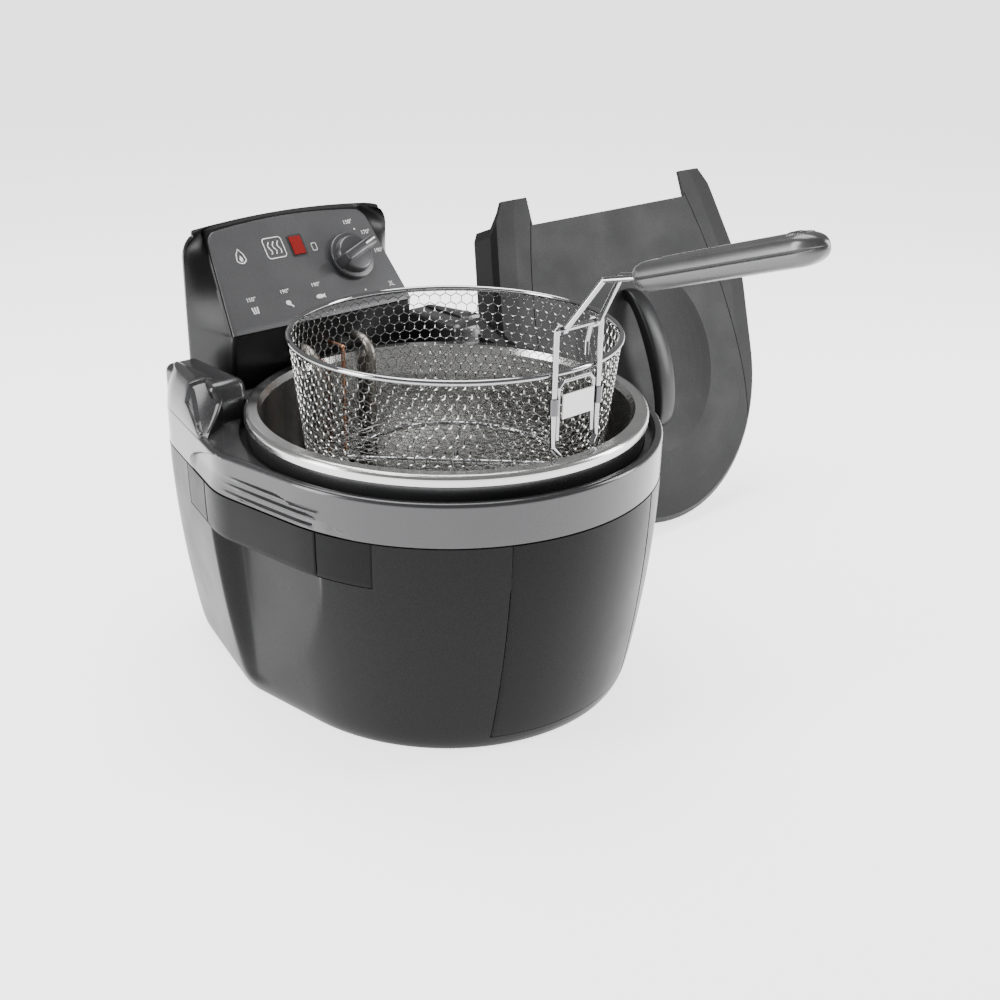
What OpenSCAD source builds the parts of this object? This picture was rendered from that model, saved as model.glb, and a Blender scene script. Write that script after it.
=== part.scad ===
// Countertop deep fryer with a lift-out pot, a wire basket and a loose lid.
// Origin: on the pot's axis, in the plane that the feet stand on. +Z up, front faces -Y.
// The basket stands in its draining place and the lid stands on its front edge at +X.

/* [Housing] */
// Radius of the round front of the body at the parting line
body_r = 129; // [126:0.5:150]
// Half width of the body at its bulging sides
side_x = 136; // [133:0.5:165]
// Depth from the pot's axis to the back of the body
back_y = 166; // [165:0.5:190]
// Height of the line between the lower shell and the top housing
parting_z = 136; // [115:0.5:160]
// Height of the outer band of the top housing
band_h = 25; // [16:0.5:30]
// Wall of the moulded shells
shell_wall = 2.6; // [1.6:0.1:3.4]
// How much further in the base is than the parting line
base_inset = 14; // [8:0.5:22]
// Height of the lift of the shoulders above the band
shoulder_h = 33; // [26:0.5:50]
// Half width of the front panel between its seams
panel_seam_x = 54; // [40:0.5:64]
// Width of the gaps between moulded pieces
seam_gap = 0.4; // [0.2:0.05:0.8]

/* [Feet and base] */
// Radius of a rubber foot
foot_r = 10; // [6:0.5:14]
// How far a foot stands out under the base plate
foot_h = 1; // [0.8:0.1:3]
// Radius of a base screw's head
screw_r = 3.2; // [2.4:0.1:4]

/* [Pot] */
// Outer radius of the pot's rolled rim
rim_r = 120; // [112:0.5:124]
// Inner radius of the pot
pot_r = 110; // [104:0.5:112]
// Height of the top of the pot's rim above the floor
rim_z = 173; // [168:0.5:190]
// Inner depth of the pot
pot_depth = 143; // [138:0.5:150]
// Thickness of the pot's sheet
pot_wall = 0.8; // [0.5:0.1:1.5]

/* [Basket] */
// Radius of the middle of the basket's rim wire
basket_r = 96; // [80:0.5:97]
// Radius of the basket at its bottom
basket_low_r = 89; // [70:0.5:92]
// Depth of the basket
basket_depth = 80; // [60:0.5:82]
// Height of the rim wire over the pot's rim when the basket drains
basket_lift = 44; // [36:0.5:60]
// How far the basket's axis stands in front of the pot's axis
basket_shift = 7.5; // [5:0.5:8]
// Radius of the basket's rim wire
rim_wire_r = 1.75; // [1.2:0.05:2.4]
// Radius of the bracket and handle wires
wire_r = 1.6; // [1:0.05:2]
// Wall of the wire cloth, taken as a thin sheet
cloth_wall = 0.8; // [0.6:0.1:1.2]

/* [Basket handle] */
// Height of the handle's pivot over the basket's rim wire
pivot_h = 24.5; // [22:0.5:30]
// Half distance between the bracket's two legs
bracket_x = 16.5; // [14:0.5:24]
// Length of the grip
grip_len = 107; // [90:1:140]
// Width of the grip
grip_w = 19; // [15:0.5:26]
// Height of the grip
grip_h = 15.5; // [12:0.5:20]
// Slope of the grip above level
grip_slope = 18; // [8:0.5:25]

/* [Control unit] */
// Half width of the control housing
unit_x = 81; // [78:0.5:83]
// Height of the top of the control housing
unit_top = 260; // [250:0.5:285]
// Half width of the control panel at its lower edge
fascia_x = 70; // [66:0.5:72]
// Length of the control panel up its slope
fascia_len = 67; // [58:0.5:70]
// Slope of the control panel
fascia_slope = 53; // [48:0.5:58]
// Radius of the knob's skirt
knob_r = 16.5; // [13:0.5:18]
// Radius of the heating element's tube
tube_r = 3.25; // [2.5:0.05:4]

/* [Lid] */
// How far the lid reaches past the body's outline
lid_over = 2; // [2:0.5:10]
// Depth of the lid's skirt
lid_skirt = 22; // [14:0.5:26]
// Lean of the standing lid from level
lid_lean = 68; // [65:0.5:80]
// Distance of the standing lid's middle from the pot's axis
lid_x = 266; // [264:1:320]
// Place of the standing lid's front edge behind the pot's axis
lid_y = 24; // [10:1:60]

/* [Hidden] */

eps = 0.2;               // thickness of the discs that outlines are hulled from
round_fn = 96;
soft_fn = 24;
ball_fn = 16;
run_fit = 0.05;          // radial clearance of a turning fit

// Housing
side_y = 40;
side_r = 60;
corner_r = 58;
corner_x = side_x - 74;
base_z = foot_h + 0.8;
deck_z = parting_z + band_h - 1;
collar_r = rim_r - 2;
pot_hole_r = pot_r + pot_wall + 2;
curl_h = 6;
rim_under = rim_z - curl_h;

// Height and inset of each level of the body's side, from the base up to the parting line
function level_z(i) = base_z + [0, 0.04, 0.21, 0.49, 0.73, 1][i] * (parting_z - base_z);
function level_in(i) = base_inset * [1.2, 1, 0.66, 0.28, 0.1, 0][i];
scoop_top = parting_z - 27;
scoop_front = -38;
scoop_back = 56;
scoop_deep = 15;

// Pot and basket
pot_floor = rim_z - pot_depth;
basket_z = rim_z + basket_lift;
basket_low_z = basket_z - basket_depth;
pivot_z = basket_z + pivot_h;
bracket_y = -basket_shift - sqrt(pow(basket_r + rim_wire_r, 2) - pow(bracket_x, 2)) - wire_r;
wire_bend = [6.5, bracket_y - 21, pivot_z + 29];
grip_start = [0, bracket_y - 43, pivot_z + 34];
tail_len = pivot_h - rim_wire_r - wire_r - 1.2;

// Control unit
fascia_y = 119;
fascia_z = 198;
unit_back = back_y + 1;
unit_mid = 158;
unit_crest = fascia_y + (unit_top - fascia_z) / tan(fascia_slope) + 0.6;
fascia_t = 1.6;
knob_at = [37, 37];
lamp_at = [0, 52];
riser_x = 22;
riser_y = pot_r - tube_r - 5.5;
element_z = pot_floor + tube_r + 3;
element_run_z = rim_z + tube_r + 5;
turn_r = 20;

// Lid, drawn closed with its outer face at z = 0, then stood up
lid_front = body_r + lid_over;
lid_back = fascia_y - 7;
lid_notch_x = unit_x + 3;
lid_prong = 20;
lid_prong_x = lid_notch_x + 24;
lid_chamfer = -34;
pan_r = lid_back - 4;
handle_x = 9;
handle_y = -4;
handle_half = 55;
handle_rise = 18;
grip_gap = 9;            // height of the gap under the lid's handle, over the lid's face
bowl_r = 74;
bowl_deep = 8;
bowl_steps = 10;
lid_lift = lid_skirt * cos(lid_lean) + 0.2;

// A round rod between two points
module rod(a, b, r) {
    v = b - a;
    run = norm(v);
    translate(a) rotate([0, acos(v[2] / run), atan2(v[1], v[0])]) cylinder(h = run, r = r, $fn = soft_fn);
}

// A bent wire: rods through the points, with a ball a hair larger than the wire at each bend
module wire(points, r) {
    for (i = [0 : len(points) - 2]) rod(points[i], points[i + 1], r);
    for (i = [1 : len(points) - 2]) translate(points[i]) sphere(r = r + 0.04, $fn = soft_fn);
}

// A part turn of round tube, in the XY plane about the origin
module tube_turn(bend, r, angle) {
    rotate_extrude(angle = angle, $fn = round_fn) translate([bend, 0]) circle(r = r, $fn = soft_fn);
}

// The body's plan outline at one height, as thin discs to be hulled
module plan_discs(z, grow) {
    translate([0, 0, z]) {
        cylinder(r = body_r + grow, h = eps, $fn = round_fn);
        for (s = [-1, 1]) {
            translate([s * (side_x - side_r), side_y]) cylinder(r = side_r + grow, h = eps, $fn = round_fn);
            translate([s * corner_x, back_y - corner_r])
                cylinder(r = corner_r + grow, h = eps, $fn = round_fn);
        }
    }
}

// The whole solid inside the lower shell's outer face, made smaller by inset
module lower_form(inset) {
    hull() for (i = [0 : 5]) plan_discs(level_z(i), -level_in(i) - inset);
}

// The hollow in each side that the fingers reach into, under the grip strip
module scoops(grow) {
    for (s = [-1, 1]) scale([s, 1, 1]) hull() {
        for (y = [scoop_front + 14 - grow, scoop_back - 14 + grow])
            translate([-side_x - 30, y, scoop_top - 1 + grow]) rotate([0, 90, 0])
                cylinder(r = eps, h = 30 + scoop_deep + grow, $fn = 8);
        for (y = [scoop_front - grow, scoop_back + grow])
            translate([-side_x - 30, y, scoop_top - 12]) rotate([0, 90, 0])
                cylinder(r = 8, h = 30 + scoop_deep - 3 + grow, $fn = soft_fn);
        for (y = [scoop_front + 6, scoop_back - 12])
            translate([-side_x - 30, y, base_z + 14]) rotate([0, 90, 0])
                cylinder(r = 4, h = 30 + base_inset * 0.86 + grow, $fn = soft_fn);
    }
}

// The band under the parting line that the grip strips fill
module strip_zone(s, gap) {
    translate([s * side_x - 40, scoop_front - 26 + gap, scoop_top + gap])
        cube([80, scoop_back - scoop_front + 50 - 2 * gap, 40]);
}

// The part of the front that the front panel takes
module front_zone(gap) {
    translate([-panel_seam_x + gap, -body_r - 20, base_z + 8 + gap])
        cube([2 * (panel_seam_x - gap), body_r, parting_z]);
}

module lower_shell() {
    color([0.16, 0.16, 0.17]) difference() {
        lower_form(0);
        difference() {
            lower_form(shell_wall);
            scoops(shell_wall);
        }
        scoops(0);
        translate([0, 0, parting_z - 0.5]) cylinder(r = 2 * back_y, h = 20);
        translate([0, 0, base_z - 1]) cylinder(r = 2 * back_y, h = shell_wall + 1);
        front_zone(0);
        for (s = [-1, 1]) strip_zone(s, 0);
    }
}

module front_panel() {
    color([0.12, 0.12, 0.13]) difference() {
        intersection() {
            lower_form(0);
            front_zone(seam_gap);
        }
        lower_form(shell_wall);
        translate([0, 0, parting_z - 0.5]) cylinder(r = 2 * back_y, h = 20);
    }
}

module grip_strip(s) {
    color([0.13, 0.13, 0.14]) difference() {
        intersection() {
            lower_form(0.2);
            strip_zone(s, seam_gap);
        }
        lower_form(shell_wall + 1);
        translate([0, 0, parting_z - 0.5]) cylinder(r = 2 * back_y, h = 20);
    }
}

module grip_strip_left() { grip_strip(-1); }
module grip_strip_right() { grip_strip(1); }

foot_places = [[-62, -70], [62, -70], [-76, 112], [76, 112]];

module base_plate() {
    color([0.1, 0.1, 0.1]) difference() {
        hull() {
            plan_discs(base_z, -level_in(0) - 1.2);
            plan_discs(base_z + shell_wall - eps, -level_in(0) - 0.8);
        }
        for (p = foot_places) translate([p[0], p[1], base_z - 1]) cylinder(r = foot_r - 3, h = shell_wall + 2);
        for (i = [0 : 3]) rotate(45 + 90 * i) translate([40, 0, base_z - 1]) cylinder(r = 1.6, h = shell_wall + 2);
    }
}

module base_feet() {
    color([0.06, 0.06, 0.06]) for (p = foot_places) translate([p[0], p[1], 0]) {
        cylinder(r1 = foot_r - 1, r2 = foot_r, h = 1);
        translate([0, 0, 1]) cylinder(r = foot_r, h = base_z - 1);
        cylinder(r = foot_r - 3, h = base_z + shell_wall + 1);
    }
}

module base_screws() {
    color("silver") for (i = [0 : 3]) rotate(45 + 90 * i) translate([40, 0, base_z]) {
        translate([0, 0, -0.8]) cylinder(r = screw_r, h = 0.8);
        cylinder(r = 1.6, h = shell_wall + 6);
    }
}

// One shoulder beside the control unit, as corner balls to be hulled
module shoulder_form(r) {
    top = deck_z + shoulder_h - r;
    in_x = -unit_x - 4 - r;
    hull() {
        for (p = [[-side_x + 12, 62], [-side_x + 21, 104], [-side_x + 32, 136], [in_x, 150],
                  [in_x, 110], [-side_x + 32, 72]])
            translate([p[0], p[1], deck_z - 4]) sphere(r = r, $fn = ball_fn);
        for (p = [[-side_x + 27, 96], [-side_x + 37, 134], [in_x, 148], [in_x, 116], [-side_x + 35, 77]])
            translate([p[0], p[1], top]) sphere(r = r, $fn = ball_fn);
        translate([-side_x + 21.5, 103, top - 8]) sphere(r = r, $fn = ball_fn);
    }
}

module top_housing() {
    color([0.42, 0.42, 0.43]) difference() {
        union() {
            hull() {
                plan_discs(parting_z, 0);
                plan_discs(parting_z + band_h - 3, -0.6);
                plan_discs(parting_z + band_h - eps, -2.6);
            }
            for (s = [0, 1]) mirror([s, 0, 0]) shoulder_form(5);
            translate([0, 0, deck_z]) cylinder(r = collar_r, h = rim_under - deck_z, $fn = round_fn);
        }
        translate([0, 0, -1]) hull() {
            plan_discs(parting_z, -shell_wall);
            plan_discs(deck_z - shell_wall, -shell_wall);
        }
        for (s = [0, 1]) mirror([s, 0, 0]) translate([0, 0, -shell_wall]) shoulder_form(5 - shell_wall);
        translate([0, 0, parting_z]) cylinder(r = pot_hole_r, h = 60, $fn = round_fn);
        difference() {
            translate([0, 0, deck_z - 1]) cylinder(r = body_r - 4.5, h = 8, $fn = round_fn);
            translate([0, 0, deck_z - 2]) cylinder(r = collar_r, h = 20, $fn = round_fn);
            for (s = [-1, 1]) translate([s * 110 - 20, 40, deck_z - 2]) cube([40, 120, 20]);
        }
        // seat of the control unit
        translate([-unit_x - 0.5, fascia_y + 1, deck_z - shell_wall - 3]) cube([2 * unit_x + 1, 40, 20]);
        translate([-unit_x - 0.5, fascia_y + 1, deck_z]) cube([2 * unit_x + 1, 60, 20]);
    }
}

module pot() {
    color([0.75, 0.75, 0.74]) {
        rotate_extrude($fn = round_fn) polygon(concat(
            [[0, pot_floor - pot_wall], [pot_r - 16, pot_floor - pot_wall]],
            [for (a = [10 : 10 : 80]) [pot_r - 16 + (16 + pot_wall) * sin(a),
                pot_floor + 16 - (16 + pot_wall) * cos(a)]],
            [[pot_r + pot_wall, pot_floor + 16], [pot_r + pot_wall, rim_z - 4.2],
             [pot_r + 2.6, rim_z - pot_wall], [rim_r - 3, rim_z - pot_wall],
             [rim_r - 1.2, rim_z - 2.4], [rim_r - 1.2, rim_under], [rim_r, rim_under]],
            [for (a = [0 : 15 : 90]) [rim_r - 3 + 3 * cos(a), rim_z - 3 + 3 * sin(a)]],
            [[pot_r + 2, rim_z], [pot_r, rim_z - 4]],
            [for (a = [0 : 10 : 80]) [pot_r - 16 + 16 * cos(a), pot_floor + 16 - 16 * sin(a)]],
            [[pot_r - 16, pot_floor], [0, pot_floor]]));
        // pouring ear
        rotate(132) translate([0, 0, rim_z - 3]) linear_extrude(pot_wall)
            polygon([[rim_r - 1, -11], [rim_r + 9, 0], [rim_r - 1, 11], [rim_r - 2, 0]]);
    }
}

// Pieces of the basket are drawn on its own axis
module at_basket() { translate([0, -basket_shift, 0]) children(); }

module basket_rim() {
    color([0.85, 0.85, 0.86]) at_basket() translate([0, 0, basket_z])
        tube_turn(basket_r, rim_wire_r, 360);
}

module basket_cloth() {
    color([0.8, 0.8, 0.8]) at_basket() rotate_extrude($fn = round_fn) polygon(concat(
        [[0, basket_low_z], [basket_low_r - 9, basket_low_z]],
        [for (a = [15 : 15 : 75]) [basket_low_r - 9 + 9 * sin(a), basket_low_z + 9 - 9 * cos(a)]],
        [[basket_low_r, basket_low_z + 9], [basket_r - rim_wire_r, basket_z],
         [basket_r - rim_wire_r - cloth_wall, basket_z], [basket_low_r - cloth_wall, basket_low_z + 9]],
        [for (a = [75 : -15 : 15]) [basket_low_r - 9 + (9 - cloth_wall) * sin(a),
            basket_low_z + 9 - (9 - cloth_wall) * cos(a)]],
        [[basket_low_r - 9, basket_low_z + cloth_wall], [0, basket_low_z + cloth_wall]]));
}

module basket_foot_ring() {
    color([0.8, 0.8, 0.8]) at_basket() translate([0, 0, basket_low_z - wire_r]) {
        tube_turn(basket_low_r - 24, wire_r, 360);
        for (a = [45, 135]) rotate([0, 0, a]) translate([-basket_low_r + 24, 0, (a - 90) / 200])
            rotate([0, 90, 0]) cylinder(r = wire_r - 0.3, h = 2 * basket_low_r - 48, $fn = soft_fn);
    }
}

module basket_bracket() {
    low = rim_z - 0.5;
    color([0.82, 0.82, 0.83]) {
        wire([[-bracket_x + 4, bracket_y - 1.2, low], [-bracket_x, bracket_y, low + 5],
              [-bracket_x, bracket_y, pivot_z], [bracket_x, bracket_y, pivot_z],
              [bracket_x, bracket_y, low + 5], [bracket_x - 4, bracket_y - 1.2, low]], wire_r);
    }
}

module basket_hoop() {
    y = bracket_y + 0.4;
    x = bracket_x - 2 * wire_r - 0.3;
    top = basket_z - 4;
    color([0.82, 0.82, 0.83])
        wire([[-x, y, rim_z + 8], [-x, y, top - 3], [-x + 3, y, top], [x - 3, y, top],
              [x, y, top - 3], [x, y, rim_z + 8]], wire_r - 0.3);
}

module bracket_clips() {
    color([0.2, 0.2, 0.2]) for (s = [-1, 1])
        translate([s * bracket_x, bracket_y, basket_z - 21]) difference() {
            cylinder(r = wire_r + 1, h = 9, $fn = soft_fn);
            translate([0, 0, -1]) cylinder(r = wire_r, h = 11, $fn = soft_fn);
            for (k = [-1, 1]) translate([-s * 4 - 2, -4, -1]) cube([4, 8, 11]);
        }
}

module basket_tag_plate() {
    x = bracket_x - wire_r - 3.3;
    color([0.9, 0.9, 0.9]) translate([-x, bracket_y - wire_r - 0.6, basket_z - 24]) cube([2 * x, 0.8, 13.5]);
}

// One side of the folding handle, from its eye on the bracket's top bar to the grip
module handle_side(s) {
    eye = [s * (bracket_x - wire_r - 2.6), bracket_y, pivot_z];
    reach = wire_r + run_fit + 1.2;
    translate(eye) rotate([0, 90, 0]) difference() {
        cylinder(r = reach, h = 3, center = true, $fn = soft_fn);
        cylinder(r = wire_r + run_fit, h = 5, center = true, $fn = soft_fn);
    }
    wire([eye + [0, -reach, 1.4], [s * wire_bend[0], wire_bend[1], wire_bend[2]],
          grip_start + [s * 4, 0, 0], grip_start + [s * 4, -22, 22 * tan(grip_slope)]], wire_r - 0.1);
    wire([eye + [0, reach, -1], eye + [0, reach + 2.5, -tail_len * 0.6],
          eye + [-s * 1.5, reach + 1, -tail_len + 1]], wire_r - 0.35);
}

module handle_wires() {
    color([0.83, 0.83, 0.84]) for (s = [-1, 1]) handle_side(s);
}

// The grip lies along -Y from its start, on its slope
module at_grip() {
    translate(grip_start) rotate([-grip_slope, 0, 0]) translate([0, 4, 0]) rotate([90, 0, 0]) children();
}

module grip_form() {
    hull() {
        translate([0, 0, 5]) rounded_bar(grip_w, grip_h, grip_len - 12);
        translate([0, 0, 0]) rounded_bar(grip_w - 3, grip_h - 3, 2);
        translate([0, 0, grip_len - 3]) rounded_bar(grip_w - 5, grip_h - 4, 3);
    }
}

module rounded_bar(w, h, run) {
    r = min(h, w) / 2 - 1;
    for (x = [-w / 2 + r, w / 2 - r])
        for (y = [-h / 2 + r, h / 2 - r]) translate([x, y, 0]) cylinder(r = r, h = run, $fn = soft_fn);
}

module wire_holes() {
    for (s = [-1, 1]) translate([s * 4, 0, -5]) {
        cylinder(r = wire_r, h = 33, $fn = soft_fn);
        cylinder(r = wire_r + 1, h = 10, $fn = soft_fn);
    }
}

module grip_upper() {
    color([0.5, 0.5, 0.51]) at_grip() difference() {
        grip_form();
        translate([-30, -30 + seam_gap / 2, -5]) cube([60, 30, grip_len + 20]);
        wire_holes();
    }
}

module grip_lower() {
    color([0.5, 0.5, 0.51]) at_grip() difference() {
        grip_form();
        translate([-30, -seam_gap / 2, -5]) cube([60, 30, grip_len + 20]);
        wire_holes();
    }
}

// The sloping face of the control unit: X across, Y up the slope, Z out of the face
module at_fascia() { translate([0, fascia_y, fascia_z]) rotate([fascia_slope, 0, 0]) children(); }

// The control housing's outer form, made smaller by inset
module unit_form(inset) {
    hull() {
        at_fascia() for (s = [-1, 1]) {
            translate([s * (fascia_x - 2), 4 + inset, -6]) cylinder(r = 7 - inset, h = 6 - inset, $fn = soft_fn);
            translate([s * (fascia_x - 9), fascia_len - 5, -6])
                cylinder(r = 9 - inset, h = 6 - inset, $fn = soft_fn);
        }
        for (s = [-1, 1]) {
            translate([s * (unit_x - 21), unit_crest, unit_top - 17]) rotate([-90, 0, 0])
                cylinder(r = 12 - inset, h = unit_back - unit_crest - 2 - inset, $fn = soft_fn);
            translate([s * (fascia_x - 1), fascia_y + 8.5, deck_z + inset])
                cylinder(r = 5 - inset, h = fascia_z - deck_z - 6, $fn = soft_fn);
            translate([s * (unit_x - 8), unit_back - 11, deck_z + inset])
                cylinder(r = 8 - inset, h = unit_top - deck_z - 24 - inset, $fn = soft_fn);
        }
        translate([0, unit_crest, unit_top - 40]) rotate([-90, 0, 0])
            cylinder(r = 40 - inset, h = unit_back - unit_crest - 2 - inset, $fn = round_fn);
    }
}

module riser_holes(r) {
    for (s = [-1, 1]) translate([s * riser_x, fascia_y + 30, element_run_z]) rotate([90, 0, 0])
        cylinder(r = r, h = 60);
    translate([0, fascia_y + 30, element_run_z]) rotate([90, 0, 0]) cylinder(r = 1.6, h = 60);
}

module fascia_holes(gap) {
    translate([knob_at[0], knob_at[1], -12]) cylinder(r = 4 + gap, h = 20);
    translate([lamp_at[0] - 4.5 - gap, lamp_at[1] - 6.5 - gap, -12]) cube([9 + 2 * gap, 13 + 2 * gap, 20]);
}

module control_front() {
    color([0.13, 0.13, 0.14]) difference() {
        unit_form(0);
        unit_form(shell_wall);
        translate([-200, unit_mid - seam_gap / 2, 0]) cube([400, 100, 400]);
        translate([-200, 0, deck_z - 1]) cube([400, 400, shell_wall + 1]);
        at_fascia() fascia_plate(fascia_t, 0.1, -fascia_t);
        at_fascia() fascia_holes(0.4);
        riser_holes(tube_r + 0.1);
    }
}

module control_rear_cover() {
    color([0.12, 0.12, 0.13]) difference() {
        unit_form(0);
        unit_form(shell_wall);
        translate([-200, unit_mid + seam_gap / 2 - 100, 0]) cube([400, 100, 400]);
        translate([-200, 0, deck_z - 1]) cube([400, 400, shell_wall + 1]);
        at_fascia() fascia_plate(fascia_t, 0.1, -fascia_t);
        translate([48, unit_mid, deck_z + 22]) rotate([-90, 0, 0]) cylinder(r = 6, h = 40);
        translate([-40, unit_mid, deck_z + 30]) rotate([-90, 0, 0]) cylinder(r = 3.5 + run_fit * 4, h = 40);
    }
}

module fascia_plate(t, grow, z) {
    low = fascia_x + 2 + grow;
    high = fascia_x - 5 + grow;
    translate([0, 0, z]) linear_extrude(t + (grow > 0 ? 1 : 0)) polygon([
        [-low, -0.5 - grow], [low, -0.5 - grow], [low + 1.5, 5],
        [high + 3.5, fascia_len - 6], [high, fascia_len + 2 + grow],
        [-high, fascia_len + 2 + grow], [-high - 3.5, fascia_len - 6], [-low - 1.5, 5]]);
}

module control_fascia() {
    color([0.33, 0.33, 0.34]) at_fascia() difference() {
        fascia_plate(fascia_t, 0, -fascia_t);
        fascia_holes(0);
    }
}

module control_base() {
    color([0.1, 0.1, 0.1]) difference() {
        intersection() {
            unit_form(0.3);
            translate([-200, 0, deck_z]) cube([400, 400, shell_wall]);
        }
        for (s = [-1, 1]) translate([s * 60, unit_mid - 14, deck_z - 1]) cylinder(r = 1.7, h = 8);
    }
}

module control_screws() {
    color("silver") for (s = [-1, 1]) translate([s * 60, unit_mid - 14, deck_z + shell_wall]) {
        cylinder(r = 3, h = 1.6);
        translate([0, 0, -shell_wall]) cylinder(r = 1.6, h = shell_wall);
    }
}

module knob() {
    color([0.3, 0.3, 0.31]) at_fascia() translate([knob_at[0], knob_at[1], 0.6]) difference() {
        union() {
            cylinder(r = knob_r, h = 3.4, $fn = round_fn);
            translate([0, 0, 3.4]) cylinder(r1 = knob_r - 1, r2 = knob_r - 2.6, h = 3, $fn = round_fn);
            rotate(38) translate([-knob_r + 2.5, -4, 3]) cube([2 * knob_r - 2, 8, 13]);
        }
        translate([0, 0, -1]) cylinder(r = 3.05, h = 10);
    }
}

module knob_shaft() {
    color("silver") at_fascia() translate([knob_at[0], knob_at[1], -13]) cylinder(r = 3.05, h = 22);
}

module thermostat() {
    color([0.7, 0.7, 0.68]) at_fascia() translate([knob_at[0], knob_at[1], -18]) difference() {
        translate([-11, -11, 0]) cube([22, 22, 10]);
        translate([0, 0, 4]) cylinder(r = 3.05 + run_fit, h = 20);
    }
}

module heat_sensor() {
    color([0.72, 0.5, 0.35]) {
        wire([[0, fascia_y + 26, element_run_z], [0, riser_y + 1, element_run_z],
              [0, riser_y + 1, pot_floor + 14]], 1.4);
        translate([0, riser_y + 1, pot_floor + 13]) rotate([104, 0, 0]) cylinder(r = 3, h = 26, $fn = soft_fn);
    }
}

module lamp_lens() {
    color([0.75, 0.1, 0.08]) at_fascia() translate([lamp_at[0] - 4.4, lamp_at[1] - 6.4, -4]) cube([8.8, 12.8, 4.8]);
}

module pilot_lamp() {
    color([0.9, 0.6, 0.4]) at_fascia() translate([lamp_at[0], lamp_at[1], -14]) {
        cylinder(r = 2.5, h = 7);
        translate([0, 0, 7]) sphere(r = 2.5, $fn = soft_fn);
    }
}

module terminal_block() {
    color([0.85, 0.82, 0.75]) translate([-26, unit_mid - 24, deck_z + shell_wall]) cube([26, 12, 10]);
}

module overheat_cutout() {
    color([0.6, 0.6, 0.6]) translate([-40, unit_mid - 22, deck_z + 30]) rotate([-90, 0, 0]) cylinder(r = 8, h = 14);
}

module safety_switch() {
    color([0.15, 0.15, 0.2]) translate([58, unit_mid - 32, deck_z + shell_wall]) cube([10, 14, 16]);
}

module reset_button() {
    color([0.75, 0.12, 0.1]) translate([-40, unit_mid - 6, deck_z + 30]) rotate([-90, 0, 0])
        cylinder(r = 3.5, h = unit_back - unit_mid + 6.5);
}

module cord_gland() {
    color([0.07, 0.07, 0.07]) translate([48, unit_mid - 4, deck_z + 22]) rotate([-90, 0, 0]) difference() {
        union() {
            cylinder(r = 6, h = 16);
            translate([0, 0, unit_back - unit_mid + 4]) cylinder(r = 8, h = 3);
            translate([0, 0, 2]) cylinder(r = 8, h = 2);
        }
        translate([0, 0, -1]) cylinder(r = 3.6, h = 30);
    }
}

// One half of the heating element: over the rim, down the pot's wall and round its floor
module element_half(s) {
    x = riser_x;
    out = x + 2 * turn_r;
    bend = 12;
    small = turn_r / 2;
    front = -40;
    back = 42;
    mirror([s < 0 ? 1 : 0, 0, 0]) {
        rod([x, fascia_y + 24, element_run_z], [x, riser_y + bend, element_run_z], tube_r);
        translate([x, riser_y + bend, element_run_z - bend])
            rotate([0, -90, 0]) rotate([180, 0, 0]) tube_turn(bend, tube_r, 90);
        rod([x, riser_y, element_run_z - bend], [x, riser_y, element_z + bend], tube_r);
        translate([x, riser_y - bend, element_z + bend])
            rotate([0, 90, 0]) tube_turn(bend, tube_r, 90);
        translate([x + small, riser_y - bend, element_z]) rotate(180) tube_turn(small, tube_r, 90);
        rod([x + small, riser_y - bend - small, element_z], [out - small, riser_y - bend - small, element_z],
            tube_r);
        translate([out - small, riser_y - bend - 2 * small, element_z]) tube_turn(small, tube_r, 90);
        rod([out, riser_y - bend - 2 * small, element_z], [out, front, element_z], tube_r);
        translate([out - turn_r, front, element_z]) rotate(180) tube_turn(turn_r, tube_r, 180);
        rod([x, front, element_z], [x, back, element_z], tube_r);
        translate([0, back, element_z]) tube_turn(x, tube_r, 90);
    }
}

module heating_element() {
    color([0.55, 0.53, 0.5]) for (s = [-1, 1]) element_half(s);
}

module element_bracket() {
    color([0.7, 0.7, 0.7]) translate([-riser_x - 6, riser_y - 1, pot_floor + 60]) difference() {
        translate([0, -tube_r - 1, 0]) cube([2 * riser_x + 12, 2 * tube_r + 3, 6]);
        for (x = [6, 2 * riser_x + 6]) translate([x, 1, -1]) cylinder(r = tube_r, h = 8);
        translate([riser_x + 6, 2, -1]) cylinder(r = 1.4, h = 8);
    }
}

// Stands the closed lid on its front edge beside the body
module at_lid() {
    translate([lid_x, lid_y, lid_lift]) rotate([lid_lean, 0, 0]) translate([0, lid_front, 0]) children();
}

// The lid's form with its face at z = 0: nearly flat to a rounded edge over a short skirt
module lid_form(inset) {
    hull() {
        plan_discs(-lid_skirt - inset, lid_over - inset);
        plan_discs(-4 - inset, lid_over - inset);
        plan_discs(-inset - 1, lid_over - 4 - inset);
        plan_discs(-inset - eps, lid_over - 20 - inset);
    }
}

// Cuts the lid's back to a plate edge and two prongs that pass the control unit
module lid_trim() {
    translate([-lid_notch_x, lid_back, -60]) cube([2 * lid_notch_x, 100, 120]);
    for (s = [-1, 1]) translate([s * (lid_notch_x + 50) - 50, lid_back + lid_prong, -60]) cube([100, 100, 120]);
    for (s = [0, 1]) mirror([s, 0, 0]) translate([lid_prong_x, lid_back + lid_prong, -60])
        rotate(-lid_chamfer) translate([0, -120, 0]) cube([100, 200, 120]);
}

// Half width of the lid's middle plate at a place along the lid
function groove_x(y) = lid_notch_x + 25 - (y > -25 ? 12.5 : 25) * pow((y + 25) / 100, 2);

// The middle plate's part of the lid, inside the dark groove
module groove_zone(grow) {
    rows = [for (y = [-lid_front - 10 : 8 : lid_back + 10]) y];
    translate([0, 0, -60]) linear_extrude(120) polygon(concat(
        [for (y = rows) [groove_x(y) + grow, y]],
        [for (i = [len(rows) - 1 : -1 : 0]) [-groove_x(rows[i]) - grow, rows[i]]]));
}

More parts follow.
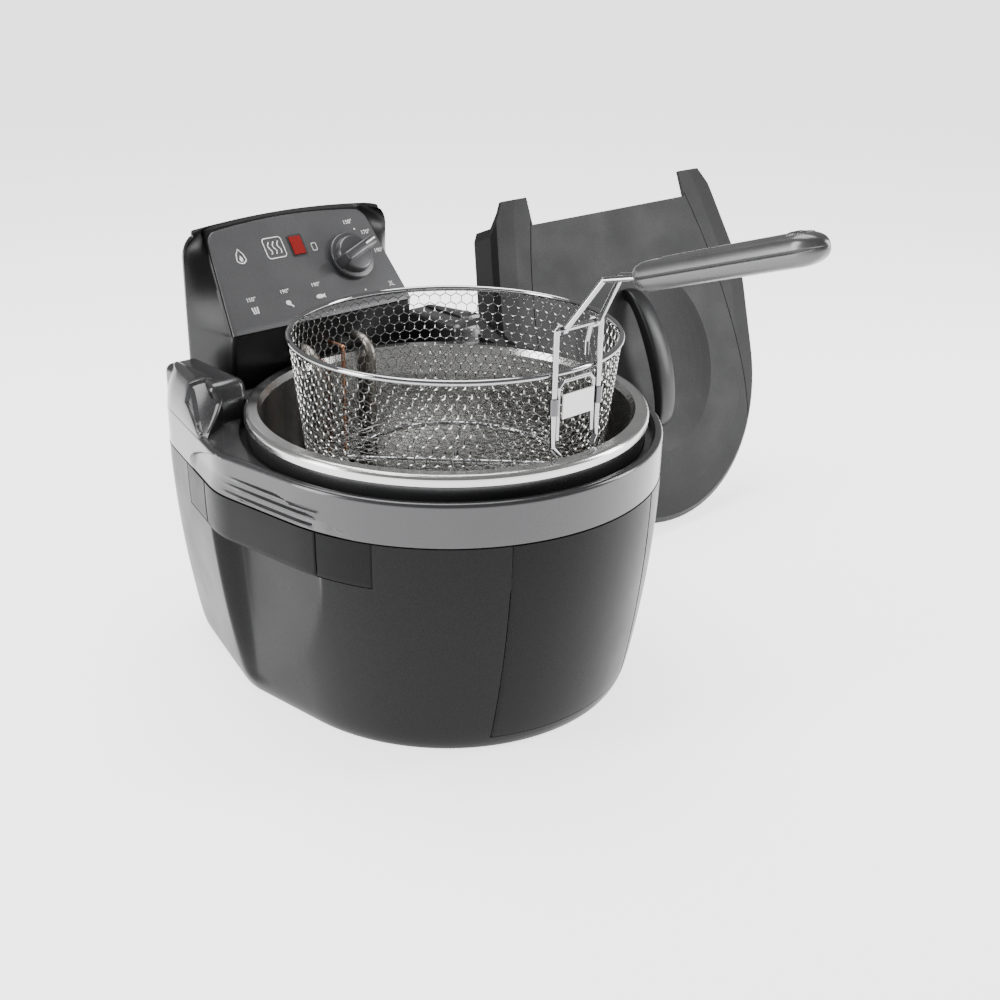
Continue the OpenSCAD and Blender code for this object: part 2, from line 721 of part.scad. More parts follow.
// The round bowl that the fingers reach into at each side of the lid's handle
module bowl_form(grow) {
    translate([0, handle_y, 0]) rotate_extrude($fn = round_fn) polygon(concat(
        [for (i = [0 : bowl_steps]) [(bowl_r + grow) * i / bowl_steps,
            -grow - bowl_deep * (1 - pow(i / bowl_steps, 2))]],
        [[bowl_r + grow, 4], [0, 4]]));
}

module lid_plate() {
    color([0.3, 0.3, 0.31]) at_lid() difference() {
        intersection() {
            lid_form(0);
            groove_zone(0);
        }
        difference() {
            lid_form(shell_wall);
            bowl_form(1.6);
        }
        bowl_form(0);
        lid_trim();
    }
}

module lid_flanks() {
    color([0.26, 0.26, 0.27]) at_lid() difference() {
        lid_form(0);
        lid_form(shell_wall);
        groove_zone(0.8);
        lid_trim();
    }
}

module lid_handle() {
    foot = bowl_deep * (1 - pow(handle_half / bowl_r, 2)) - 0.1;
    color([0.32, 0.32, 0.33]) at_lid() translate([0, handle_y, 0]) rotate([90, 0, 90])
        translate([0, 0, -handle_x]) linear_extrude(2 * handle_x) polygon(concat(
            [[handle_half, -foot]],
            [for (a = [0 : 10 : 180]) [handle_half * cos(a), handle_rise * sin(a)]],
            [[-handle_half, -foot], [-handle_half + 9, -foot]],
            [for (a = [180 : -15 : 0]) [(handle_half - 9) * cos(a), grip_gap * sin(a)]],
            [[handle_half - 9, -foot]]));
}

module lid_inner_pan() {
    color([0.7, 0.7, 0.7]) at_lid() translate([0, 0, -lid_skirt + 1]) difference() {
        cylinder(r = pan_r, h = 1);
        translate([0, 60, -1]) cylinder(r = 22, h = 3);
    }
}

module lid_seal() {
    color([0.15, 0.15, 0.15]) at_lid() translate([0, 0, -lid_skirt + 3])
        tube_turn(pan_r - 3, 1, 360);
}

module lid_filter() {
    color([0.6, 0.6, 0.6]) at_lid() translate([0, 60, -lid_skirt + 1]) cylinder(r = 21.5, h = 1);
}

module lid_screws() {
    color("silver") at_lid() for (i = [0 : 3]) rotate(45 + 90 * i)
        translate([pan_r - 12, 0, -lid_skirt]) cylinder(r = screw_r, h = 1);
}

top_housing();
lower_shell();
front_panel();
grip_strip_left();
grip_strip_right();
base_plate();
base_feet();
base_screws();
pot();
basket_rim();
basket_cloth();
basket_foot_ring();
basket_bracket();
basket_hoop();
bracket_clips();
basket_tag_plate();
handle_wires();
grip_upper();
grip_lower();
control_front();
control_rear_cover();
control_fascia();
control_base();
control_screws();
knob();
knob_shaft();
thermostat();
heat_sensor();
lamp_lens();
pilot_lamp();
terminal_block();
overheat_cutout();
safety_switch();
reset_button();
cord_gland();
heating_element();
element_bracket();
lid_plate();
lid_flanks();
lid_handle();
lid_inner_pan();
lid_seal();
lid_filter();
lid_screws();
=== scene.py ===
import math

import bmesh
import bpy
from mathutils import Matrix, Vector


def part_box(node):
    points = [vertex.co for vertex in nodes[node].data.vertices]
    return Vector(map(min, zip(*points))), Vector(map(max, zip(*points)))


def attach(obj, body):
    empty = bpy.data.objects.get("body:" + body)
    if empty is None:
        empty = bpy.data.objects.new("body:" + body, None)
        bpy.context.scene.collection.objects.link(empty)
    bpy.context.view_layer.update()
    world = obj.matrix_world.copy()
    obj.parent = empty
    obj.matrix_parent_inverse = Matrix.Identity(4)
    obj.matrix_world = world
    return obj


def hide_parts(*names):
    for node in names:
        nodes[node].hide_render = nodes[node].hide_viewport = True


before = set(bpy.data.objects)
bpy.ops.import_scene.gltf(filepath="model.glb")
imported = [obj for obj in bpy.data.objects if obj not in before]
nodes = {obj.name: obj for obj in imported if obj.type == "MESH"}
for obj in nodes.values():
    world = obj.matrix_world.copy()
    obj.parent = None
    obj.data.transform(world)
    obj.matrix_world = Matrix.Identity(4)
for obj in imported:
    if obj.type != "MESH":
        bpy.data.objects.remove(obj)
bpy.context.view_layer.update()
MM = 0.001


# ---- Materials -------------------------------------------------------------------------

def new_material(name, color, rough, metal=0.0, coat=0.0):
    """A plain shader to start from, with its fixed numbers on its own sockets."""
    mat = bpy.data.materials.new(name)
    mat.use_nodes = True
    shader = mat.node_tree.nodes["Principled BSDF"]
    shader.inputs["Base Color"].default_value = (*color, 1)
    shader.inputs["Roughness"].default_value = rough
    shader.inputs["Metallic"].default_value = metal
    shader.inputs["Coat Weight"].default_value = coat
    shader.inputs["Coat Roughness"].default_value = 0.12
    return mat, mat.node_tree, shader


def noise(tree, scale, detail=2.0, stretch=(1, 1, 1)):
    """Noise in the piece's own coordinates, in cells per metre."""
    coord = tree.nodes.new("ShaderNodeTexCoord")
    mapping = tree.nodes.new("ShaderNodeMapping")
    mapping.inputs["Scale"].default_value = stretch
    tex = tree.nodes.new("ShaderNodeTexNoise")
    tex.inputs["Scale"].default_value = scale
    tex.inputs["Detail"].default_value = detail
    tree.links.new(coord.outputs["Object"], mapping.inputs["Vector"])
    tree.links.new(mapping.outputs["Vector"], tex.inputs["Vector"])
    return tex.outputs["Fac"]


def ramp(tree, value, low, high, from_low=0.0, from_high=1.0):
    """Spreads a value between two numbers or two colours."""
    node = tree.nodes.new("ShaderNodeValToRGB")
    node.color_ramp.elements[0].position = from_low
    node.color_ramp.elements[1].position = from_high
    node.color_ramp.elements[0].color = (*low, 1) if isinstance(low, tuple) else (low, low, low, 1)
    node.color_ramp.elements[1].color = (*high, 1) if isinstance(high, tuple) else (high, high, high, 1)
    tree.links.new(value, node.inputs["Fac"])
    return node.outputs["Color"]


def add_bump(tree, shader, height, strength, distance):
    bump = tree.nodes.new("ShaderNodeBump")
    bump.inputs["Strength"].default_value = strength
    bump.inputs["Distance"].default_value = distance
    tree.links.new(height, bump.inputs["Height"])
    tree.links.new(bump.outputs["Normal"], shader.inputs["Normal"])


def moulded(name, color, rough, fleck=0.0, metal=0.0, coat=0.0, grain=2400, bump=0.15, shine=0.5):
    """Moulded plastic: fine grain, slightly uneven gloss, and metallic fleck where it has some."""
    mat, tree, shader = new_material(name, color, rough, metal, coat)
    shader.inputs["Specular IOR Level"].default_value = shine
    fine = noise(tree, grain)
    broad = noise(tree, 35, 4)
    light = tuple(min(1.0, c * (1 + fleck)) for c in color)
    dark = tuple(c * (1 - fleck * 0.45) for c in color)
    tree.links.new(ramp(tree, fine, dark, light, 0.36, 0.68), shader.inputs["Base Color"])
    tree.links.new(ramp(tree, broad, rough * 0.88, min(1.0, rough * 1.14), 0.3, 0.7),
                   shader.inputs["Roughness"])
    add_bump(tree, shader, fine, bump, 0.0002)
    return mat


def steel(name, color, rough, grain=(1, 1, 40), scale=220, bump=0.12):
    """Metal with a drawn or brushed grain along the short direction of the stretch."""
    mat, tree, shader = new_material(name, color, rough, 1.0)
    lines = noise(tree, scale, 3, grain)
    smear = noise(tree, 28, 3)
    tree.links.new(ramp(tree, lines, rough * 0.75, rough * 1.3, 0.3, 0.7), shader.inputs["Roughness"])
    tree.links.new(ramp(tree, smear, tuple(c * 0.93 for c in color), color, 0.3, 0.7),
                   shader.inputs["Base Color"])
    add_bump(tree, shader, lines, bump, 0.0001)
    return mat


def lens_red():
    mat, tree, shader = new_material("lens_red", (0.3, 0.012, 0.01), 0.12, 0.0, 0.3)
    ripple = noise(tree, 900)
    tree.links.new(ramp(tree, ripple, (0.16, 0.006, 0.006), (0.3, 0.016, 0.014)), shader.inputs["Base Color"])
    shader.inputs["Emission Color"].default_value = (0.9, 0.03, 0.02, 1)
    shader.inputs["Emission Strength"].default_value = 0.03
    return mat


def filter_weave():
    """The lid filter: a fine square weave."""
    mat, tree, shader = new_material("filter_weave", (0.5, 0.5, 0.5), 0.4, 0.8)
    coord = tree.nodes.new("ShaderNodeTexCoord")
    wave = tree.nodes.new("ShaderNodeTexWave")
    wave.inputs["Scale"].default_value = 300
    tree.links.new(coord.outputs["Object"], wave.inputs["Vector"])
    tree.links.new(ramp(tree, wave.outputs["Fac"], (0.12, 0.12, 0.12), (0.6, 0.6, 0.6)),
                   shader.inputs["Base Color"])
    add_bump(tree, shader, wave.outputs["Fac"], 0.5, 0.0004)
    return mat


MATERIALS = {
    "pewter": moulded("pewter", color=(0.05, 0.05, 0.052), rough=0.24, fleck=0.2, metal=0.55, coat=0.35,
                      grain=2600, bump=0.05),
    "anthracite": moulded("anthracite", color=(0.005, 0.005, 0.0053), rough=0.3, fleck=1.2, metal=0.0,
                          coat=0.0, grain=2200, bump=0.12, shine=0.13),
    "panel": moulded("panel", color=(0.0045, 0.0045, 0.0048), rough=0.3, fleck=1.2, metal=0.0, coat=0.0,
                     grain=2200, bump=0.12, shine=0.11),
    "strip": moulded("strip", color=(0.004, 0.004, 0.0043), rough=0.38, fleck=0.9, metal=0.0, coat=0.0,
                     grain=2200, bump=0.12, shine=0.1),
    "black_plastic": moulded("black_plastic", color=(0.012, 0.012, 0.013), rough=0.45, fleck=0.3),
    "rubber": moulded("rubber", color=(0.01, 0.01, 0.01), rough=0.75, fleck=0.3, metal=0, coat=0,
                      grain=1500, bump=0.3),
    "zinc": steel("zinc", color=(0.62, 0.62, 0.6), rough=0.35, grain=(1, 1, 1), scale=500),
    "stainless": steel("stainless", color=(0.6, 0.6, 0.59), rough=0.2, grain=(1, 1, 60), scale=90,
                       bump=0.08),
    "chrome": steel("chrome", color=(0.4, 0.4, 0.41), rough=0.06, grain=(1, 1, 1), scale=300,
                    bump=0.03),
    "cloth_wire": steel("cloth_wire", color=(0.42, 0.42, 0.41), rough=0.18, grain=(1, 1, 1), scale=600,
                        bump=0.05),
    "clip": steel("clip", color=(0.12, 0.12, 0.125), rough=0.2, grain=(1, 1, 1), scale=400, bump=0.06),
    "white_plate": moulded("white_plate", color=(0.82, 0.82, 0.81), rough=0.32, fleck=0.03, metal=0.0,
                           coat=0.3, grain=1800, bump=0.04),
    "grip": moulded("grip", color=(0.1, 0.1, 0.102), rough=0.27, fleck=0.1, metal=0.65, coat=0.1,
                    grain=2600, bump=0.06),
    "unit": moulded("unit", color=(0.006, 0.006, 0.0065), rough=0.34, fleck=0.7, metal=0.1, coat=0.0,
                    grain=2200, bump=0.1, shine=0.3),
    "fascia": moulded("fascia", color=(0.095, 0.095, 0.098), rough=0.36, fleck=0.3, metal=0.5, coat=0.1,
                      grain=3000, bump=0.08),
    "knob": moulded("knob", color=(0.085, 0.085, 0.088), rough=0.33, fleck=0.25, metal=0.6, coat=0.15,
                    grain=3000, bump=0.06),
    "thermostat": steel("thermostat", color=(0.6, 0.6, 0.57), rough=0.4, grain=(1, 1, 1), scale=300),
    "copper": steel("copper", color=(0.72, 0.36, 0.22), rough=0.3, grain=(1, 1, 1), scale=300),
    "lens": lens_red(),
    "lamp": moulded("lamp", color=(0.85, 0.5, 0.3), rough=0.15, fleck=0.1, metal=0, coat=0.5),
    "ceramic": moulded("ceramic", color=(0.75, 0.72, 0.64), rough=0.5, fleck=0.1),
    "reset_red": moulded("reset_red", color=(0.5, 0.02, 0.015), rough=0.35, fleck=0.2),
    "gland": moulded("gland", color=(0.01, 0.01, 0.01), rough=0.7, fleck=0.3),
    "element": steel("element", color=(0.34, 0.32, 0.29), rough=0.42, grain=(1, 1, 1), scale=260,
                     bump=0.2),
    "lid": moulded("lid", color=(0.014, 0.014, 0.0145), rough=0.42, fleck=0.7, metal=0.1, coat=0.0,
                   grain=2300, bump=0.12, shine=0.18),
    "lid_flank": moulded("lid_flank", color=(0.013, 0.013, 0.0135), rough=0.42, fleck=0.7, metal=0.1,
                         coat=0.0, grain=2300, bump=0.12, shine=0.18),
    "lid_handle": moulded("lid_handle", color=(0.02, 0.02, 0.021), rough=0.38, fleck=0.5, metal=0.45,
                          coat=0.05, grain=2300, bump=0.12),
    "pan": steel("pan", color=(0.7, 0.7, 0.69), rough=0.28, grain=(1, 1, 1), scale=200),
    "seal": moulded("seal", color=(0.03, 0.03, 0.03), rough=0.6, fleck=0.2),
    "filter": filter_weave(),
    "print_pale": moulded("print_pale", color=(0.86, 0.86, 0.85), rough=0.4, fleck=0.05, metal=0.0,
                          coat=0.0, grain=2000, bump=0.03),
}

NODE_FINISH = {
    "top_housing": "pewter", "lower_shell": "anthracite", "front_panel": "panel",
    "grip_strip_left": "strip", "grip_strip_right": "strip", "base_plate": "black_plastic",
    "base_feet": "rubber", "base_screws": "zinc", "pot": "stainless", "basket_rim": "chrome",
    "basket_cloth": "cloth_wire", "basket_foot_ring": "chrome", "basket_bracket": "chrome",
    "basket_hoop": "chrome", "bracket_clips": "clip", "basket_tag_plate": "white_plate",
    "handle_wires": "chrome", "grip_upper": "grip", "grip_lower": "grip", "control_front": "unit",
    "control_rear_cover": "unit", "control_fascia": "fascia", "control_base": "black_plastic",
    "control_screws": "zinc", "knob": "knob", "knob_shaft": "zinc", "thermostat": "thermostat",
    "heat_sensor": "copper", "lamp_lens": "lens", "pilot_lamp": "lamp", "terminal_block": "ceramic",
    "overheat_cutout": "thermostat", "safety_switch": "black_plastic", "reset_button": "reset_red",
    "cord_gland": "gland", "heating_element": "element", "element_bracket": "stainless",
    "lid_plate": "lid", "lid_flanks": "lid_flank", "lid_handle": "lid_handle",
    "lid_inner_pan": "pan", "lid_seal": "seal", "lid_filter": "filter", "lid_screws": "zinc",
}
for node_name, finish in NODE_FINISH.items():
    node = nodes[node_name]
    node.data.materials.clear()
    node.data.materials.append(MATERIALS[finish])


# ---- Modelling helpers -------------------------------------------------------------------

def deselect():
    bpy.ops.object.select_all(action="DESELECT")


def take(name):
    """Names the piece that an operator has just made."""
    obj = bpy.context.object
    obj.name = name
    obj.data.name = name
    return obj


def activate(obj):
    deselect()
    obj.select_set(True)
    bpy.context.view_layer.objects.active = obj


def modify(obj, kind, **settings):
    """Adds a modifier and applies it."""
    activate(obj)
    mod = obj.modifiers.new(kind.lower(), kind)
    for key, value in settings.items():
        setattr(mod, key, value)
    bpy.ops.object.modifier_apply(modifier=mod.name)


def clean(obj, merge=0.00002):
    """Merges doubled points and turns every face outwards."""
    activate(obj)
    bpy.ops.object.mode_set(mode="EDIT")
    bpy.ops.mesh.select_all(action="SELECT")
    bpy.ops.mesh.remove_doubles(threshold=merge)
    bpy.ops.mesh.normals_make_consistent(inside=False)
    bpy.ops.object.mode_set(mode="OBJECT")


def settle(obj):
    """Puts the piece's place into its mesh."""
    activate(obj)
    bpy.ops.object.transform_apply(location=True, rotation=True, scale=True)


def look_out(obj, inside):
    """Turns an open shell's faces to look away from a point inside it."""
    inside = Vector(inside)
    total = sum((face.center - inside).dot(face.normal) * face.area for face in obj.data.polygons)
    if total < 0:
        obj.data.flip_normals()


def shell_wall(obj, thickness, inside):
    """Gives a shell its wall, inwards from the face that is seen."""
    look_out(obj, inside)
    modify(obj, "SOLIDIFY", thickness=thickness, offset=-1)


def smooth(obj, angle=32):
    activate(obj)
    bpy.ops.object.shade_smooth_by_angle(angle=math.radians(angle))


def finish_piece(obj, finish, body, replaced=(), angle=32):
    """Gives a new piece its material and smooth shading, hangs it under its body, and hides the CAD nodes it
    stands for.
    """
    obj.data.materials.clear()
    obj.data.materials.append(MATERIALS[finish])
    smooth(obj, angle)
    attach(obj, body)
    if replaced:
        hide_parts(*replaced)
    return obj


def join(parts, name):
    """Joins pieces into the first of them."""
    deselect()
    for part in parts:
        part.select_set(True)
    bpy.context.view_layer.objects.active = parts[0]
    bpy.ops.object.join()
    return take(name)


def flip_copy(obj, name):
    """A mirrored copy across the middle plane, with its own mesh."""
    twin = obj.copy()
    twin.data = obj.data.copy()
    twin.name = twin.data.name = name
    bpy.context.scene.collection.objects.link(twin)
    twin.data.transform(Matrix.Scale(-1, 4, (1, 0, 0)))
    twin.data.flip_normals()
    return twin


def surface(name, columns, rows, place, wall=0.0):
    """A grid laid on a surface: place(s, t) gives a point, with s and t running over the lists given."""
    deselect()
    bpy.ops.mesh.primitive_grid_add(x_subdivisions=len(columns) - 1, y_subdivisions=len(rows) - 1, size=2)
    obj = take(name)
    across, down = len(columns) - 1, len(rows) - 1
    for vert in obj.data.vertices:
        i = round((vert.co.x + 1) / 2 * across)
        j = round((vert.co.y + 1) / 2 * down)
        vert.co = place(columns[i], rows[j])
    clean(obj)
    if wall:
        modify(obj, "SOLIDIFY", thickness=wall, offset=-1, use_even_offset=False)
    return obj


def spread(*stops):
    """Numbers from stop to stop: each stop is (value, steps to the next one)."""
    values = []
    for (low, steps), (high, _) in zip(stops, stops[1:]):
        values += [low + (high - low) * k / steps for k in range(steps)]
    return values + [stops[-1][0]]


def ease(x):
    x = max(0.0, min(1.0, x))
    return x * x * (3 - 2 * x)


# ---- The body's plan outline -------------------------------------------------------------

FRONT_R = 129 * MM
SIDE_R, CORNER_R = 60 * MM, 58 * MM
SIDE_AT = Vector((76, 40)) * MM
CORNER_AT = Vector((62, 108)) * MM
PART_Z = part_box("top_housing")[0].z
BASE_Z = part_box("base_plate")[0].z
BASE_INSET = 14 * MM
WALL = 2.4 * MM
SCOOP_TOP = 109 * MM


def outline(grow, steps=720):
    """Points and outward ways of the outline's right half, from the front middle round to the back."""
    arcs = ((Vector((0, 0)), FRONT_R), (SIDE_AT, SIDE_R), (CORNER_AT, CORNER_R))
    points, ways = [], []
    for k in range(steps + 1):
        angle = -math.pi / 2 + math.pi * k / steps
        way = Vector((math.cos(angle), math.sin(angle)))
        centre, radius = max(arcs, key=lambda arc: arc[0].dot(way) + arc[1])
        points.append(centre + way * (radius + grow))
        ways.append(way)
    points[0].x = points[-1].x = 0
    return points, ways


class Ring:
    """One level's half outline, measured along its length."""

    def __init__(self, grow):
        self.points, self.ways = outline(grow)
        self.run = [0.0]
        for a, b in zip(self.points, self.points[1:]):
            self.run.append(self.run[-1] + (b - a).length)
        self.length = self.run[-1]

    def find(self, distance):
        distance = max(0.0, min(self.length, distance))
        low, high = 0, len(self.run) - 1
        while high - low > 1:
            mid = (low + high) // 2
            if self.run[mid] <= distance:
                low = mid
            else:
                high = mid
        return low, (distance - self.run[low]) / max(self.run[high] - self.run[low], 1e-9)

    def at(self, distance, out=0.0):
        """The point at a distance along, moved straight out from the side."""
        low, part = self.find(distance)
        way = self.ways[low].lerp(self.ways[low + 1], part).normalized()
        return self.points[low].lerp(self.points[low + 1], part) + way * out

    def where(self, axis, value):
        """The distance at which x (on the front) or y (on the side) reaches a value."""
        for k in range(1, len(self.points)):
            low, high = self.points[k - 1][axis], self.points[k][axis]
            if high >= value:
                part = (value - low) / max(high - low, 1e-9)
                return self.run[k - 1] + (self.run[k] - self.run[k - 1]) * max(0.0, min(1.0, part))
        return self.length


rings = {}


def ring(grow):
    key = round(grow, 6)
    if key not in rings:
        rings[key] = Ring(grow)
    return rings[key]


def lower_grow(z):
    """How far the side stands in or out of the parting line's outline at a height."""
    v = (z - BASE_Z) / (PART_Z - BASE_Z)
    return -BASE_INSET * (max(0.0, 1 - v) ** 1.89 + 0.15 * math.exp(-v / 0.03))


SEAM_X = 54 * MM                         # half width of the front panel
SCOOP_FRONT, SCOOP_BACK = -41 * MM, 57 * MM
STRIP_FRONT, STRIP_BACK = -68 * MM, 94 * MM
SCOOP_FACE = 121.6 * MM                  # the flat that the fingers rest on


def station(z, s, grow=0.0):
    """A point by height and station: 0 front middle, 1 panel seam, 2 and 3 the hollow's edges, 4 back."""
    edge = ring(lower_grow(z) + grow)
    slope = (SCOOP_TOP - z) / (SCOOP_TOP - BASE_Z)
    marks = [0.0, edge.where(0, SEAM_X), edge.where(1, SCOOP_FRONT - 6 * MM * slope),
             edge.where(1, SCOOP_BACK - 12 * MM * slope), edge.length]
    k = min(3, int(s))
    point = edge.at(marks[k] + (marks[k + 1] - marks[k]) * (s - k))
    return Vector((point.x, point.y, z))


def shell_point(s, z):
    """The shell's side, pressed in to a flat where the fingers go."""
    point = station(z, s)
    across = ease((s - 2) / 0.05) * ease((3 - s) / 0.16)
    depth = across * ease((SCOOP_TOP - z) / (0.6 * MM)) * ease((z - BASE_Z - 7 * MM) / (7 * MM))
    flat = min(point.x, SCOOP_FACE)
    point.x += (flat - point.x) * depth
    return point


def body_shell():
    """The lower shell up to the strips' foot, then the rest in front of and behind the strips."""
    rows = spread((BASE_Z + 0.2 * MM, 3), (BASE_Z + 3 * MM, 8), (BASE_Z + 16 * MM, 18),
                  (SCOOP_TOP - 1 * MM, 4), (SCOOP_TOP, 1))
    columns = spread((1.006, 26), (2.0, 10), (2.05, 26), (2.84, 18), (3.0, 70), (4.0, 1))
    parts = [surface("body_shell", columns, rows, shell_point)]
    edge = ring(0)
    ledge = spread((SCOOP_TOP, 8), (PART_Z - 0.5 * MM, 1))
    ends = ((edge.where(0, SEAM_X) + 0.4 * MM, edge.where(1, STRIP_FRONT)),
            (edge.where(1, STRIP_BACK), edge.length))
    for low, high in ends:
        parts.append(surface("body_shell", spread((low, 60), (high, 1)), ledge,
                             lambda d, z: edge.at(d, lower_grow(z)).to_3d() + Vector((0, 0, z))))
    bed = spread((edge.where(1, STRIP_FRONT) - 2 * MM, 60), (edge.where(1, STRIP_BACK) + 2 * MM, 1))
    parts.append(surface("body_shell", bed, ledge,
                         lambda d, z: edge.at(d, lower_grow(z) - 3.2 * MM).to_3d() + Vector((0, 0, z))))
    half = join(parts, "body_shell")
    shell = join([half, flip_copy(half, "body_shell_b")], "body_shell")
    clean(shell)
    shell_wall(shell, WALL, (0, 0.02, 0.09))
    return finish_piece(shell, "anthracite", "housing", ["lower_shell"])


def front_cover():
    columns = spread((0.0, 34), (0.985, 3), (0.994, 1))
    rows = spread((BASE_Z + 8.4 * MM, 2), (BASE_Z + 10 * MM, 26), (PART_Z - 0.6 * MM, 1))

    def place(s, z):
        return station(z, s, -0.5 * MM * ease((s - 0.98) / 0.014))

    half = surface("front_cover", columns, rows, place)
    cover = join([half, flip_copy(half, "front_cover_b")], "front_cover")
    clean(cover)
    shell_wall(cover, WALL, (0, 0.02, 0.09))
    return finish_piece(cover, "panel", "housing", ["front_panel"])


def front_sill():
    """The strip of the shell that runs on under the front cover."""
    columns = spread((0.0, 30), (1.006, 1))
    rows = spread((BASE_Z + 0.2 * MM, 3), (BASE_Z + 3 * MM, 3), (BASE_Z + 8 * MM, 1))
    half = surface("front_sill", columns, rows, lambda s, z: station(z, s))
    sill = join([half, flip_copy(half, "front_sill_b")], "front_sill")
    clean(sill)
    shell_wall(sill, WALL, (0, 0.02, 0.09))
    finish_piece(sill, "anthracite", "housing")


def grip_strips():
    """Each side's strip over the finger hollow, in three lengths with open seams between."""
    edge = ring(0)
    stops = [STRIP_FRONT, -36.4 * MM, 61.7 * MM, STRIP_BACK]
    pieces = []
    for low, high in zip(stops, stops[1:]):
        start, end = edge.where(1, low) + 0.3 * MM, edge.where(1, high) - 0.3 * MM

        def place(d, z):
            rounded = 0.5 * MM * (1 - ease(min(d - start, end - d, z - SCOOP_TOP) / (0.8 * MM)))
            return edge.at(d, lower_grow(z) - rounded).to_3d() + Vector((0, 0, z))

        columns = spread((start, 2), (start + 0.8 * MM, 40), (end - 0.8 * MM, 2), (end, 1))
        rows = spread((SCOOP_TOP + 0.1 * MM, 2), (SCOOP_TOP + 1 * MM, 12), (PART_Z - 0.5 * MM, 1))
        pieces.append(surface("grip_strip", columns, rows, place, 2 * MM))
    right = join(pieces, "strip_right")
    left = flip_copy(right, "strip_left")
    finish_piece(right, "strip", "housing", ["grip_strip_right"])
    finish_piece(left, "strip", "housing", ["grip_strip_left"])


body_shell()
front_cover()
front_sill()
grip_strips()


# ---- Top housing -------------------------------------------------------------------------

BAND_TOP = PART_Z + 25 * MM
COLLAR_R = 118 * MM
HOLE_R = 112.8 * MM
RIM_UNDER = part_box("pot")[1].z - 6 * MM
FACET_BACK, FACET_FRONT = 90 * MM, -62 * MM   # ends of the long facet on each side of the band
FACET_DEEP = 2.2 * MM
RIB_ENDS = (-34.6 * MM, -36.7 * MM, -39.6 * MM)
RIB_LOW, RIB_STEP, RIB_HALF, RIB_RISE = 2.6 * MM, 4.6 * MM, 1.1 * MM, 1.5 * MM


def facet_top(y):
    """Height of the side facet's upper edge above the parting line."""
    if y > 41 * MM:
        return 23.5 * MM * math.sqrt(max(0.0, (FACET_BACK - y) / (FACET_BACK - 41 * MM)))
    return 23.5 * MM * max(0.0, (y - FACET_FRONT) / (41 * MM - FACET_FRONT)) ** 0.75


def band_side(out, z, distance):
    """A point on the band's outer face, with the side facet and its three ribs cut into it."""
    edge = ring(0)
    point = edge.at(distance)
    if point.x > 90 * MM and FACET_FRONT < point.y < FACET_BACK:
        under = facet_top(point.y) - (z - PART_Z)
        sunk = FACET_DEEP * ease(under / (0.6 * MM)) * ease((point.y - FACET_FRONT) / (16 * MM))
        sunk *= ease((FACET_BACK - point.y) / (12 * MM)) * ease((z - PART_Z) / (16 * MM) + 0.3)
        for k, end in enumerate(RIB_ENDS):
            across = abs(z - PART_Z - RIB_LOW - RIB_STEP * k) / RIB_HALF
            along = ease((point.y - end) / (1.5 * MM)) * ease((44 * MM - point.y) / (46 * MM))
            sunk -= RIB_RISE * along * max(0.0, 1 - across * across)
        out -= sunk
    return edge.at(distance, out).to_3d() + Vector((0, 0, z))


def round_point(radius, z, distance):
    """A point of a level circle, facing the outline's point at a distance along it."""
    way = ring(0).at(distance, -5 * MM).normalized()
    return Vector((way.x * radius, way.y * radius, z))


def band():
    """The band, its rolled top edge, the sunk channel and the collar under the pot's rim."""
    sides = [("out", -0.25, z) for z in spread((PART_Z + 0.2 * MM, 44), (BAND_TOP - 2.4 * MM, 1))]
    sides += [("out", -0.25 - 2.2 * (1 - math.cos(a)), BAND_TOP - 2.4 * MM + 2.4 * MM * math.sin(a))
              for a in (0.3, 0.6, 0.9, 1.2, 1.5)]
    sides += [("out", -4.2, BAND_TOP), ("out", -4.8, BAND_TOP - 0.3 * MM), ("out", -5.2, BAND_TOP - 1.4 * MM)]
    sides += [("ring", 123.6 * MM, BAND_TOP - 1.6 * MM), ("ring", 123.0 * MM, BAND_TOP - 2.4 * MM),
              ("ring", 122.4 * MM, BAND_TOP - 7 * MM), ("ring", COLLAR_R + 0.6 * MM, BAND_TOP - 7 * MM),
              ("ring", COLLAR_R, BAND_TOP - 6.4 * MM), ("ring", COLLAR_R, RIM_UNDER - 1.2 * MM),
              ("ring", COLLAR_R - 0.8 * MM, RIM_UNDER - 0.4 * MM),
              ("ring", HOLE_R + 0.8 * MM, RIM_UNDER - 0.4 * MM),
              ("ring", HOLE_R, RIM_UNDER - 1 * MM), ("ring", HOLE_R, PART_Z + 6 * MM)]

    def place(distance, k):
        kind, size, z = sides[k]
        if kind == "out":
            return band_side(size * MM, z, distance)
        return round_point(size, z, distance)

    edge = ring(0)
    columns = spread((0.0, 40), (edge.where(1, FACET_FRONT - 2 * MM), 200),
                     (edge.where(1, FACET_BACK + 2 * MM), 50), (edge.length, 1))
    half = surface("band", columns, list(range(len(sides))), place)
    piece = join([half, flip_copy(half, "band_b")], "band")
    clean(piece)
    shell_wall(piece, 1.6 * MM, (0, 0.02, PART_Z))
    return finish_piece(piece, "pewter", "housing", ["top_housing"], 28)


SHOULDER_TIP, SHOULDER_FULL = 60 * MM, 100 * MM  # where the shoulder starts to rise and is at full height
SHOULDER_END = 149 * MM
SHOULDER_IN = 101 * MM


